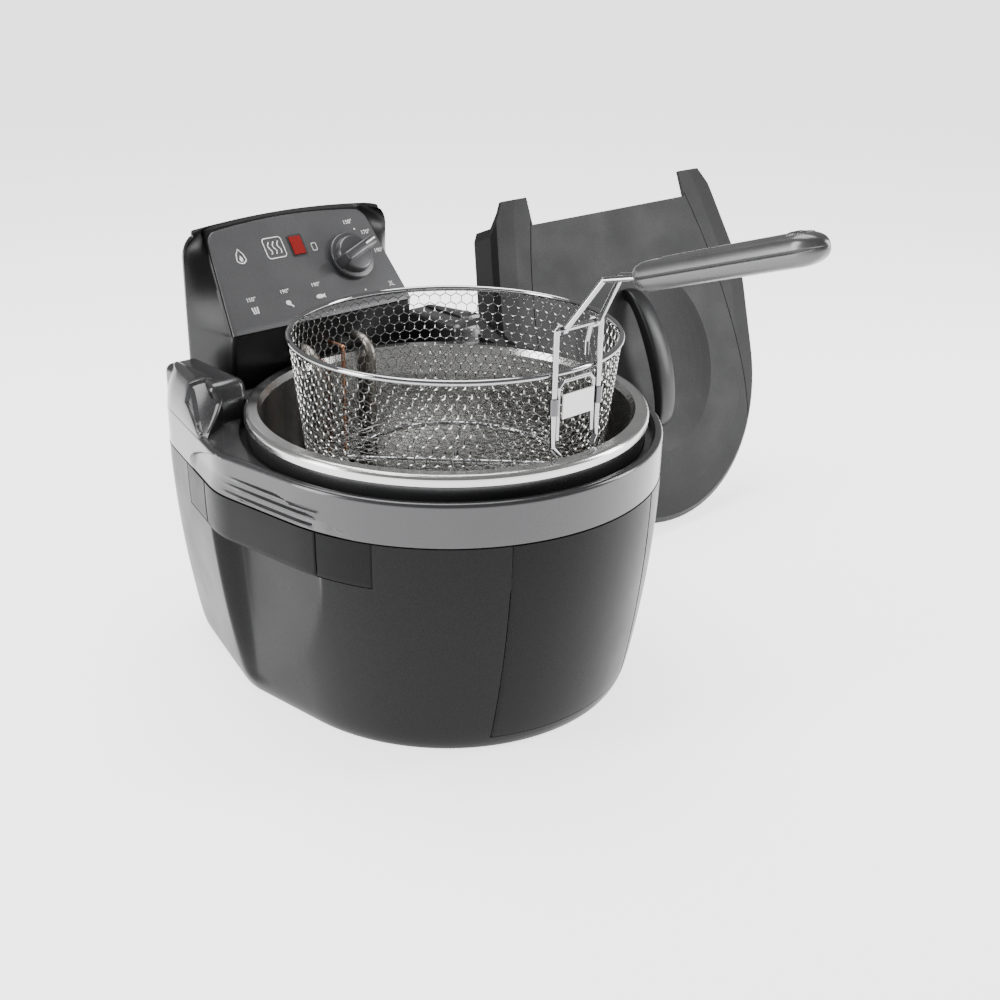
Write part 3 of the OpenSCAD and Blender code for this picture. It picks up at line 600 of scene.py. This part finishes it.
def shoulder_point(t, v):
    """Along the shoulder from its tip (t) and over it (v: 0 outer foot, 1 outer edge, 2 inner, 3 foot)."""
    y = SHOULDER_TIP + (SHOULDER_END - SHOULDER_TIP) * t
    edge = ring(0)
    rise = ease((y - SHOULDER_TIP) / (SHOULDER_FULL - SHOULDER_TIP) * 0.86 + 0.07)
    foot, top = BAND_TOP - 2.5 * MM, BAND_TOP + 22.5 * MM
    peak = foot + (top - foot) * max(0.0, (rise - 0.02) / 0.98)
    to_end = min(1.0, max(0.0, (y - SHOULDER_END + 13 * MM) / (13 * MM)))
    peak = foot + (peak - foot) * math.sqrt(1 - to_end * to_end)
    outer = edge.at(edge.where(1, y), -0.6 * MM).x
    full_in = min(SHOULDER_IN, outer - 9 * MM)
    inner = full_in + (outer - 3 * MM - full_in) * (1 - ease((y - SHOULDER_TIP) / (30 * MM)))
    lean = 7 * MM * (peak - foot) / (top - foot)
    if v <= 1:
        return Vector((outer - lean * v * v, y, foot + (peak - foot) * v))
    if v <= 2:
        dip = math.sin(math.pi * (v - 1)) * 1.2 * MM
        return Vector((outer - lean + (inner - outer + lean) * (v - 1), y, peak + dip * (rise - 0.3)))
    return Vector((inner, y, peak + (foot - 4 * MM - peak) * (v - 2)))


def shoulders():
    """The raised blocks beside the control unit, each rising from a tip on the band's edge."""
    rows = spread((0.0, 14), (0.9, 3), (1.0, 12), (2.0, 3), (2.1, 6), (3.0, 1))
    right = surface("shoulder_right", spread((0.0, 40), (0.9, 10), (1.0, 1)), rows, shoulder_point)
    activate(right)
    bpy.ops.object.mode_set(mode="EDIT")
    bpy.ops.mesh.select_all(action="DESELECT")
    mesh = bmesh.from_edit_mesh(right.data)
    for face in mesh.faces:
        mid = face.calc_center_median()
        inside = 67 * MM < mid.y < 99 * MM and face.normal.z > 0.3
        face.select_set(inside and mid.z > BAND_TOP + 1 * MM)
    bmesh.update_edit_mesh(right.data)
    bpy.ops.mesh.inset(thickness=1.6 * MM, depth=-1.6 * MM)
    bpy.ops.object.mode_set(mode="OBJECT")
    clean(right)
    shell_wall(right, 1.6 * MM, (0.108, 0.12, BAND_TOP))
    deselect()
    bpy.ops.mesh.primitive_cube_add(size=1, location=(0.0965, 0.113, BAND_TOP + 6 * MM))
    block = take("shoulder_block")
    block.scale = (24 * MM, 64 * MM, 31 * MM)
    settle(block)
    for vert in block.data.vertices:
        if vert.co.y < 0.1 and vert.co.z > BAND_TOP:
            vert.co.y += 5 * MM
    modify(block, "BEVEL", width=5 * MM, segments=5, limit_method="ANGLE", angle_limit=math.radians(30))
    modify(right, "BEVEL", width=1.6 * MM, segments=4, limit_method="ANGLE", angle_limit=math.radians(38))
    right = join([right, block], "shoulder_right")
    left = flip_copy(right, "shoulder_left")
    for piece in (right, left):
        finish_piece(piece, "pewter", "housing", (), 45)


band()
shoulders()


# ---- Control unit ------------------------------------------------------------------------

FACE_AT = Vector((0, 119, 198)) * MM
FACE_SLOPE = math.radians(53)
FACE_LEN = 71 * MM
FACE_LOW, FACE_TOP = 71.5 * MM, 62 * MM         # half widths of the face at its two ends
UNIT_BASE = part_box("control_front")[0].z
UNIT_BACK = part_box("control_rear_cover")[1].y


def on_face(x, y, rise=0.0):
    """A point on the sloping face: x across, y up the slope, rise out of it."""
    c, s = math.cos(FACE_SLOPE), math.sin(FACE_SLOPE)
    return Vector((FACE_AT.x + x, FACE_AT.y + y * c - rise * s, FACE_AT.z + y * s + rise * c))


def face_half(y):
    return FACE_LOW + (FACE_TOP - FACE_LOW) * y / FACE_LEN


def unit_point(s, t):
    """Round the case (s: 0 front middle to 5 back middle) and up it (t: 1 face's foot, 2 its head, 3 top)."""
    head = FACE_LEN * math.sin(FACE_SLOPE)
    if t <= 1:
        part = 0.0
        z = UNIT_BASE + 0.3 * MM + (FACE_AT.z - 1 * MM - UNIT_BASE - 0.3 * MM) * t
        front, half = FACE_AT.y + 2.6 * MM * (1 - t), FACE_LOW + 0.3 * MM
    else:
        part = min(1.0, t - 1)
        z = FACE_AT.z - 1 * MM + (head + 1 * MM) * part
        front = FACE_AT.y + head * part / math.tan(FACE_SLOPE) + 1.3 * MM
        half = face_half(FACE_LEN * part) + 0.2 * MM
    near_top = min(1.0, max(0.0, (part - 0.78) / 0.22))
    back = 80.5 * MM - 9 * MM * (1 - math.sqrt(1 - 0.96 * near_top * near_top))
    back = max(back, half + 1.5 * MM)
    corner, turn = 3 * MM, 7 * MM
    wall = UNIT_BACK - 1 * MM
    if s <= 1:
        point = Vector(((half - corner) * s, front))
    elif s <= 2:
        angle = math.pi / 2 * (s - 1)
        point = Vector((half - corner + corner * math.sin(angle), front + corner - corner * math.cos(angle)))
    elif s <= 3:
        point = Vector((half, front + corner)).lerp(Vector((back, wall - turn)), s - 2)
    elif s <= 4:
        angle = math.pi / 2 * (s - 3)
        point = Vector((back - turn + turn * math.cos(angle), wall - turn + turn * math.sin(angle)))
    else:
        point = Vector(((back - turn) * (5 - s), wall))
    if t > 3:
        point.x *= 1 - 0.3 * (t - 3)
    crown = 3.2 * MM * (1 - (point.x / (66 * MM)) ** 2) * ease((part - 0.5) / 0.5)
    middle = (front + wall) / 2 + 1 * MM
    if t > 2:
        roll = min(1.0, t - 2) * math.pi / 2
        shrink = 1.2 * MM * (1 - math.cos(roll))
        point.x = max(0.0, point.x - shrink)
        point.y += math.copysign(min(shrink, abs(middle - point.y)), middle - point.y)
        z += 2.4 * MM * math.sin(roll)
    if t > 3:
        point.y += (middle - point.y) * (t - 3)
    lean = crown / math.tan(FACE_SLOPE) * max(0.0, 1 - (point.y - front) / (wall - front))
    return Vector((max(0.0, point.x), point.y + lean, z + crown))


def control_case():
    columns = spread((0.0, 14), (1.0, 5), (2.0, 24), (3.0, 8), (4.0, 14), (5.0, 1))
    rows = spread((0.0, 8), (1.0, 1), (1.02, 48), (2.0, 6), (3.0, 4), (4.0, 1))
    half = surface("control_case", columns, rows, unit_point)
    piece = join([half, flip_copy(half, "control_case_b")], "control_case")
    activate(piece)
    bpy.ops.object.mode_set(mode="EDIT")
    bpy.ops.mesh.select_all(action="SELECT")
    bpy.ops.mesh.remove_doubles(threshold=0.05 * MM)
    bpy.ops.mesh.fill_holes(sides=0)
    bpy.ops.object.mode_set(mode="OBJECT")
    clean(piece)
    return finish_piece(piece, "unit", "control_unit",
                        ["control_front", "control_rear_cover"], 30)


def face_plate():
    """The grey control face, edge to edge on the slope, with rounded top corners."""
    corner = 8 * MM

    def place(s, t):
        y = FACE_LEN * t
        half = face_half(y) - 0.2 * MM
        if y > FACE_LEN - corner:
            half -= corner * (1 - math.sqrt(max(0.0, 1 - ((y - FACE_LEN + corner) / corner) ** 2)))
        return on_face(half * s, y + 3.4 * MM * (1 - s * s) * t ** 3)

    rows = spread((0.0, 16), (0.88, 14), (1.0, 1))
    plate = surface("face_plate", spread((-1.0, 48), (1.0, 1)), rows, place)
    face_out(plate, on_face(0, 0, 1) - on_face(0, 0))
    modify(plate, "SOLIDIFY", thickness=1 * MM, offset=-1)
    modify(plate, "BEVEL", width=0.3 * MM, segments=2, limit_method="ANGLE", angle_limit=math.radians(50))
    return finish_piece(plate, "fascia", "control_unit", ["control_fascia"], 30)


def face_out(obj, way):
    """Turns an open sheet's faces to look along a direction."""
    if obj.data.polygons[len(obj.data.polygons) // 2].normal.dot(way) < 0:
        obj.data.flip_normals()


control_case()
face_plate()


# ---- Prints on the control face ----------------------------------------------------------

PRINT_RISE = 0.25 * MM


def flat_on_face(obj, x, y, size=1.0, turn=0.0):
    """Lays a flat mesh that is drawn about the origin on the control face, size times as large."""
    c, s = math.cos(turn), math.sin(turn)
    for vert in obj.data.vertices:
        a, b, up = vert.co * size
        vert.co = on_face(x + a * c - b * s, y + a * s + b * c, PRINT_RISE + up)
    return obj


def figures(text, x, y, height):
    """Dial figures, made a mesh before they are placed."""
    deselect()
    bpy.ops.object.text_add()
    obj = bpy.context.object
    obj.data.body = text
    obj.data.size = height
    obj.data.align_x = "CENTER"
    obj.data.align_y = "CENTER"
    obj.data.extrude = 0.08 * MM
    obj.data.offset = 0.02 * MM
    bpy.ops.object.convert(target="MESH")
    return flat_on_face(take("dial_figures"), x, y)


def stroke(points, width, x, y, closed=False):
    """A thin printed line through points."""
    curve = bpy.data.curves.new("print_line", "CURVE")
    curve.dimensions = "2D"
    spline = curve.splines.new("POLY")
    spline.points.add(len(points) - 1)
    for point, place in zip(spline.points, points):
        point.co = (place[0], place[1], 0, 1)
    spline.use_cyclic_u = closed
    curve.dimensions = "3D"
    curve.bevel_depth = width / 2
    curve.bevel_resolution = 1
    obj = bpy.data.objects.new("print_line", curve)
    bpy.context.scene.collection.objects.link(obj)
    activate(obj)
    bpy.ops.object.convert(target="MESH")
    obj = take("print_line")
    for vert in obj.data.vertices:
        vert.co.z *= 0.2
    return flat_on_face(obj, x, y)


def blob(points, x, y):
    """A small filled printed shape."""
    deselect()
    bpy.ops.mesh.primitive_circle_add(vertices=len(points), radius=1, fill_type="NGON")
    obj = take("print_shape")
    for vert, place in zip(obj.data.vertices, points):
        vert.co = (place[0], place[1], 0)
    modify(obj, "SOLIDIFY", thickness=0.12 * MM, offset=0)
    return flat_on_face(obj, x, y)


def arc(radius, low, high, steps=12, at=(0, 0), flat=1.0):
    """Points of an arc, between two angles in degrees."""
    points = []
    for k in range(steps + 1):
        a = math.radians(low + (high - low) * k / steps)
        points.append((at[0] + radius * math.cos(a), at[1] + radius * math.sin(a) * flat))
    return points


def rounded_square(half_x, half_y, corner):
    points = []
    for sx, sy, low in ((1, 1, 0), (-1, 1, 90), (-1, -1, 180), (1, -1, 270)):
        points += arc(corner, low, low + 90, 5, (sx * (half_x - corner), sy * (half_y - corner)))
    return points


def leg_shape():
    """A drumstick seen from the side."""
    body = arc(2.0 * MM, -60, 240, 14, (-0.6 * MM, 0.6 * MM), 0.85)
    return body + [(0.4 * MM, -1.6 * MM), (1.7 * MM, -2.9 * MM), (2.6 * MM, -2.6 * MM), (2.3 * MM, -1.9 * MM),
                   (1.0 * MM, -0.7 * MM)]


def fish_shape():
    body = arc(3.0 * MM, 28, 332, 16, (0, 0), 0.5)
    return body + [(4.4 * MM, -1.6 * MM), (4.0 * MM, 0), (4.4 * MM, 1.6 * MM)]


def face_prints():
    pale, dark = [], []
    for text, x, y, height in (("150°", 45.9, 62.1, 3.6), ("170°", 56.9, 52.8, 3.6),
                               ("190°", 61.3, 38.2, 3.6), ("150°", -49.4, 21.3, 3.4),
                               ("190°", -23.5, 22.4, 3.4), ("190°", 1.3, 22.8, 3.4),
                               ("3L", 60.2, 13.1, 4.2)):
        pale.append(figures(text, x * MM, y * MM, 1.15 * height * MM))
    for x, y in ((49.1, 56.3), (54.6, 46.0), (37.8, 12.5)):
        pale.append(blob(arc(0.7 * MM, 0, 330, 11), x * MM, y * MM))
    # food shapes: fries in a row, a drumstick and a fish
    for k in (-1, 0, 1):
        pale.append(blob([((k * 1.5 - 0.5) * MM, -2.2 * MM), ((k * 1.5 + 0.5) * MM, -2.2 * MM),
                          ((k * 2.0 + 0.5) * MM, 2.4 * MM), ((k * 2.0 - 0.5) * MM, 2.4 * MM)],
                         -49.3 * MM, 13.6 * MM))
    pale.append(blob(leg_shape(), -23.1 * MM, 13.8 * MM))
    pale.append(blob(fish_shape(), 1.2 * MM, 14.4 * MM))
    # heat mark: three waves in a rounded square
    pale.append(stroke(rounded_square(7.2 * MM, 7.2 * MM, 2.2 * MM), 0.7 * MM, -17.5 * MM, 53 * MM, True))
    for k in (-1, 0, 1):
        wave = [((k * 3.6 + 0.9 * math.sin(t * 0.9)) * MM, (t - 4) * 1.1 * MM) for t in range(9)]
        pale.append(stroke(wave, 0.8 * MM, -17.5 * MM, 53 * MM))
    # plain mark of a flame in a drop, and a lamp frame
    drop = arc(3.6 * MM, 200, 340, 12, (0, -1.2 * MM))
    drop += [(2.4 * MM, 1.6 * MM), (0, 5.2 * MM), (-2.4 * MM, 1.6 * MM)]
    pale.append(stroke(drop, 0.8 * MM, -44.5 * MM, 51 * MM, True))
    pale.append(blob([(0, 1.6 * MM), (1.3 * MM, -0.8 * MM), (0.8 * MM, -2.6 * MM), (-0.8 * MM, -2.6 * MM),
                      (-1.3 * MM, -0.8 * MM)], -44.5 * MM, 50.2 * MM))
    pale.append(stroke(rounded_square(1.8 * MM, 2.6 * MM, 0.7 * MM), 0.5 * MM, 12.4 * MM, 49 * MM, True))
    dark.append(stroke(rounded_square(5.2 * MM, 7.2 * MM, 0.8 * MM), 1.3 * MM, 0, 52 * MM, True))
    for parts, name, finish in ((pale, "face_figures", "print_pale"), (dark, "lamp_frame", "black_plastic")):
        piece = join(parts, name)
        finish_piece(piece, finish, "control_unit", (), 20)


def thermostat_knob():
    """A disc skirt, a raised barrel and a stepped bar that points to the set heat."""
    at, r = Vector((37 * MM, 37 * MM)), 16.4 * MM
    deselect()
    bpy.ops.mesh.primitive_cylinder_add(vertices=96, radius=r, depth=3.2 * MM, location=(0, 0, 2.4 * MM))
    skirt = take("knob_skirt")
    modify(skirt, "BEVEL", width=0.7 * MM, segments=3, limit_method="ANGLE", angle_limit=math.radians(50))
    settle(skirt)
    deselect()
    bpy.ops.mesh.primitive_cylinder_add(vertices=96, radius=13.6 * MM, depth=5 * MM, location=(0, 0, 6 * MM))
    barrel = take("knob_barrel")
    settle(barrel)
    for vert in barrel.data.vertices:
        if vert.co.z > 6 * MM:
            vert.co.x *= 0.9
            vert.co.y *= 0.9
    modify(barrel, "BEVEL", width=1.2 * MM, segments=4, limit_method="ANGLE", angle_limit=math.radians(40))
    deselect()
    bpy.ops.mesh.primitive_cube_add(size=1, location=(0, 0, 9.5 * MM))
    bar = take("knob_bar")
    bar.scale = (30 * MM, 8.6 * MM, 13 * MM)
    settle(bar)
    for vert in bar.data.vertices:
        if vert.co.z > 9 * MM:
            vert.co.y *= 0.72
            vert.co.x = vert.co.x * 0.94
    modify(bar, "BEVEL", width=1.1 * MM, segments=4, limit_method="ANGLE", angle_limit=math.radians(30))
    deselect()
    bpy.ops.mesh.primitive_cube_add(size=1, location=(9.2 * MM, 0, 16.2 * MM))
    line = take("knob_line")
    line.scale = (9 * MM, 1.3 * MM, 0.5 * MM)
    settle(line)
    turn = math.radians(20)
    for part in (skirt, barrel, bar, line):
        for vert in part.data.vertices:
            x, y, up = vert.co
            c, s = math.cos(turn), math.sin(turn)
            vert.co = on_face(at.x + x * c - y * s, at.y + x * s + y * c, up)
    pointer = line
    dial = join([skirt, barrel, bar], "thermostat_dial")
    finish_piece(dial, "knob", "knob", ["knob"], 30)
    finish_piece(pointer, "print_pale", "knob")


face_prints()
thermostat_knob()


# ---- Wire basket -------------------------------------------------------------------------

BASKET_SHIFT = -7.5 * MM
RIM_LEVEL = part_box("basket_rim")[1].z - 2 * MM
FLOOR_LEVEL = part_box("basket_cloth")[0].z + 0.8 * MM
BASKET_TOP_R, BASKET_LOW_R, FILLET = 96 * MM, 89 * MM, 16 * MM
CELL = 7 * MM


def hex_net(name, across, rows, pitch_x, pitch_y):
    """A flat net of six-sided cells: one cell, copied in a row and then row by row, half a cell over."""
    deselect()
    bpy.ops.mesh.primitive_circle_add(vertices=6, radius=1, fill_type="NGON")
    net = take(name)
    for vert, angle in zip(net.data.vertices, range(90, 450, 60)):
        a = math.radians(angle)
        vert.co = (pitch_x / math.sqrt(3) * math.cos(a), pitch_y / 1.5 * math.sin(a), 0)
    modify(net, "ARRAY", count=across, use_relative_offset=False, use_constant_offset=True,
           constant_offset_displace=(pitch_x, 0, 0), use_merge_vertices=True, merge_threshold=0.0002)
    modify(net, "ARRAY", count=rows, use_relative_offset=False, use_constant_offset=True,
           constant_offset_displace=(pitch_x / 2, pitch_y, 0), use_merge_vertices=True,
           merge_threshold=0.0002)
    return net


def net_side_point(distance, way):
    """The basket's wall from its rim down, then round the fillet to the floor, by distance."""
    drop = Vector((BASKET_LOW_R - BASKET_TOP_R, FLOOR_LEVEL + FILLET - RIM_LEVEL))
    if distance < drop.length:
        r = BASKET_TOP_R + drop.x * distance / drop.length
        z = RIM_LEVEL + drop.y * distance / drop.length
    else:
        angle = min(math.pi / 2, (distance - drop.length) / FILLET)
        r = BASKET_LOW_R - FILLET * (1 - math.cos(angle))
        z = FLOOR_LEVEL + FILLET - FILLET * math.sin(angle)
    return Vector((r * math.cos(way), BASKET_SHIFT + r * math.sin(way), z))


def wire_cloth():
    across = 86
    pitch_x = 1.0 / across
    length = (RIM_LEVEL - FLOOR_LEVEL - FILLET) * 1.005 + FILLET * math.pi / 2
    pitch_y = CELL * 0.8
    rows = int(length / pitch_y) + 2
    side = hex_net("net_side", across, rows, pitch_x, pitch_y)
    for vert in side.data.vertices:
        vert.co = net_side_point(max(0.0, vert.co.y + 1 * MM), vert.co.x * 2 * math.pi)
    clean_net(side)
    reach = BASKET_LOW_R - FILLET + 2 * MM
    count = int(2 * reach / CELL) + 2
    floor = hex_net("net_floor", count + count // 2, count + 2, CELL, CELL * 0.87)
    place = Vector((-reach - count * CELL / 2, BASKET_SHIFT - reach, FLOOR_LEVEL))
    floor.data.transform(Matrix.Translation(place))
    cut_beyond(floor, Vector((0, BASKET_SHIFT, 0)), reach)
    clean_net(floor)
    piece = join([side, floor], "wire_cloth")
    modify(piece, "WIREFRAME", thickness=0.7 * MM, use_even_offset=False, use_boundary=True)
    return finish_piece(piece, "cloth_wire", "basket", ["basket_cloth"], 60)


def clean_net(net):
    activate(net)
    bpy.ops.object.mode_set(mode="EDIT")
    bpy.ops.mesh.select_all(action="SELECT")
    bpy.ops.mesh.remove_doubles(threshold=0.0004)
    bpy.ops.object.mode_set(mode="OBJECT")


def cut_beyond(net, centre, reach):
    """Deletes the net's points outside a circle."""
    activate(net)
    bpy.ops.object.mode_set(mode="EDIT")
    bpy.ops.mesh.select_all(action="DESELECT")
    mesh = bmesh.from_edit_mesh(net.data)
    for vert in mesh.verts:
        vert.select_set((Vector((vert.co.x, vert.co.y, 0)) - centre).length > reach)
    bmesh.update_edit_mesh(net.data)
    bpy.ops.mesh.delete(type="VERT")
    bpy.ops.object.mode_set(mode="OBJECT")


wire_cloth()


# ---- Basket handle's grip ----------------------------------------------------------------

GRIP_START = Vector((0, -148.447, 275.5)) * MM
GRIP_SLOPE = math.radians(18)
GRIP_BACK = 4 * MM                       # how far the grip reaches back over the wires
GRIP_LEN, GRIP_W, GRIP_H = 107 * MM, 19 * MM, 15.5 * MM
GRIP_EASE = 0.3 * MM                     # how far the bar stays inside its CAD shells
RIBS_START, RIBS_END, RIB_COUNT = 0.84, 0.93, 7


def on_grip(x, along, up):
    c, s = math.cos(GRIP_SLOPE), math.sin(GRIP_SLOPE)
    run = along - GRIP_BACK
    return GRIP_START + Vector((x, -run * c + up * s, run * s + up * c))


def grip():
    """The two grip shells as one bar with an open seam, a raised back and fine ribs by its end."""
    length = GRIP_LEN - 1 * MM
    half_w, half_h = GRIP_W / 2 - GRIP_EASE, GRIP_H / 2 - GRIP_EASE

    def place(angle, t):
        along = length * t
        near = min(1.0, along / (9 * MM))
        far = min(1.0, (length - along) / (13 * MM))
        size = (0.55 + 0.45 * math.sqrt(1 - (1 - near) ** 2)) * math.sqrt(max(0.0, 1 - (1 - far) ** 2))
        taper = 1 - 0.1 * t
        c, s = math.cos(angle), math.sin(angle)
        x = half_w * math.copysign(abs(c) ** 0.62, c) * size * taper
        up = half_h * math.copysign(abs(s) ** 0.72, s) * size
        seam = max(0.0, 1 - abs(s) / 0.05)
        x -= math.copysign(0.7 * MM * seam * size, c)
        if s > 0:
            back = max(0.0, 1 - abs(x) / (0.45 * half_w)) * ease((t - 0.12) / 0.1) * ease((0.9 - t) / 0.05)
            up += 0.5 * MM * ease(back * 3)
            if RIBS_START < t < RIBS_END and abs(x) < 0.5 * half_w:
                turns = (t - RIBS_START) / (RIBS_END - RIBS_START) * RIB_COUNT
                up += 0.45 * MM * max(0.0, math.sin(turns * 2 * math.pi))
        return on_grip(x, along, up)

    angles = spread((0.0, 4), (0.1, 26), (math.pi - 0.1, 8), (math.pi + 0.1, 26), (2 * math.pi - 0.1, 4),
                    (2 * math.pi, 1))
    rows = spread((0.0, 14), (0.12, 40), (0.83, 80), (0.94, 16), (1.0, 1))
    bar = surface("grip", angles, rows, place)
    activate(bar)
    bpy.ops.object.mode_set(mode="EDIT")
    bpy.ops.mesh.select_all(action="SELECT")
    bpy.ops.mesh.fill_holes(sides=0)
    bpy.ops.object.mode_set(mode="OBJECT")
    clean(bar)
    return finish_piece(bar, "grip", "basket_handle", ["grip_upper", "grip_lower"], 35)


# ---- Lid handle --------------------------------------------------------------------------

LID_LEAN, LID_FRONT, LID_SKIRT = math.radians(68), 131 * MM, 22
LID_AT = Vector((266, 24, LID_SKIRT * math.cos(LID_LEAN) + 0.2)) * MM
HANDLE_Y, HANDLE_HALF, HANDLE_RISE, HANDLE_GAP = -4 * MM, 55 * MM, 18 * MM, 9 * MM


def on_lid(x, y, up):
    """A point by its place on the closed lid's face: across, towards the back and out of the face."""
    c, s = math.cos(LID_LEAN), math.sin(LID_LEAN)
    return LID_AT + Vector((x, (y + LID_FRONT) * c - up * s, (y + LID_FRONT) * s + up * c))


def lid_bar():
    """The arched bar over the lid's bowl, broad in its middle and narrow at its feet."""
    foot = -3.4 * MM

    def place(v, t):
        angle = math.pi * t
        wide = (4.2 + 4.6 * math.sin(angle) ** 0.8) * MM
        crown = 1.4 * MM
        y, rise = math.cos(angle), math.sin(angle)
        outer = Vector((HANDLE_HALF * y, foot + (HANDLE_RISE - foot) * rise))
        inner = Vector(((HANDLE_HALF - 9 * MM) * y, foot + (HANDLE_GAP - foot) * rise))
        profile = ((0.5, -1), (0.82, -1), (1.0, -0.86), (1.0, 0), (1.0, 0.86), (0.82, 1), (0.5, 1), (0.0, 1),
                   (0.0, -1), (0.5, -1))
        high, across = profile[v]
        point = inner.lerp(outer, high)
        bulge = crown * (1 - across * across) * (high > 0.9)
        return on_lid(across * wide, HANDLE_Y + point.x, point.y + bulge * rise)

    bar = surface("lid_bar", list(range(10)), spread((0.0, 64), (1.0, 1)), place)
    clean(bar)
    look_out(bar, on_lid(0, HANDLE_Y, 10 * MM))
    modify(bar, "BEVEL", width=0.7 * MM, segments=3, limit_method="ANGLE", angle_limit=math.radians(24))
    return finish_piece(bar, "lid_handle", "lid", ["lid_handle"], 35)


grip()
lid_bar()


# ---- Floor, light and camera -------------------------------------------------------------

def studio():
    """A pale floor, a bright soft room and three soft lamps."""
    bpy.ops.object.select_all(action="DESELECT")
    bpy.ops.mesh.primitive_plane_add(size=30, location=(0, 6, 0))
    floor = bpy.context.object
    floor.name = "floor"
    mat, tree, shader = new_material("floor_paper", (0.92, 0.92, 0.925), 0.7)
    tree.links.new(ramp(tree, noise(tree, 3, 2), (0.91, 0.91, 0.915), (0.93, 0.93, 0.935)),
                   shader.inputs["Base Color"])
    shader.inputs["Specular IOR Level"].default_value = 0.2
    shader.inputs["Emission Color"].default_value = (1, 1, 1, 1)
    shader.inputs["Emission Strength"].default_value = 2.2
    floor.data.materials.append(mat)
    world = bpy.data.worlds.new("room")
    world.use_nodes = True
    world.node_tree.nodes["Background"].inputs["Color"].default_value = (1, 1, 1, 1)
    world.node_tree.nodes["Background"].inputs["Strength"].default_value = 0.32
    bpy.context.scene.world = world
    for name, place, aim, size, power in LAMPS:
        data = bpy.data.lights.new(name, "AREA")
        data.shape = "RECTANGLE"
        data.size, data.size_y = size
        data.energy = power
        lamp = bpy.data.objects.new(name, data)
        lamp.location = place
        lamp.rotation_euler = (Vector(aim) - Vector(place)).to_track_quat("-Z", "Y").to_euler()
        bpy.context.scene.collection.objects.link(lamp)


# name, place, point aimed at, size in metres and power in watts
LAMPS = [
    ("top_softbox", (0.1, 0.4, 1.5), (0, 0, 0.1), (1.2, 1.0), 26),
    ("left_softbox", (-1.3, 0.45, 0.55), (0, 0, 0.1), (0.5, 1.0), 20),
    ("right_softbox", (1.1, -0.7, 0.6), (0, 0, 0.1), (0.35, 0.9), 14),
]


def camera():
    azimuth, elevation, roll = (math.radians(a) for a in (-39.31, 23.77, -0.33))
    back = Vector((math.sin(azimuth) * math.cos(elevation),
                   -math.cos(azimuth) * math.cos(elevation), math.sin(elevation)))
    right = (-back).cross(Vector((0, 0, 1))).normalized()
    up = right.cross(-back)
    right2 = right * math.cos(roll) + up * math.sin(roll)
    up2 = up * math.cos(roll) - right * math.sin(roll)
    data = bpy.data.cameras.new("camera")
    data.sensor_width = 36
    data.lens = 46.44
    data.shift_x = 0.0872
    data.shift_y = -0.0021
    data.clip_end = 60
    cam = bpy.data.objects.new("camera", data)
    turn = Matrix((right2, up2, back)).transposed().to_4x4()
    cam.matrix_world = Matrix.Translation((-0.47685, -0.55101, 0.4293)) @ turn
    bpy.context.scene.collection.objects.link(cam)
    bpy.context.scene.camera = cam


studio()
camera()
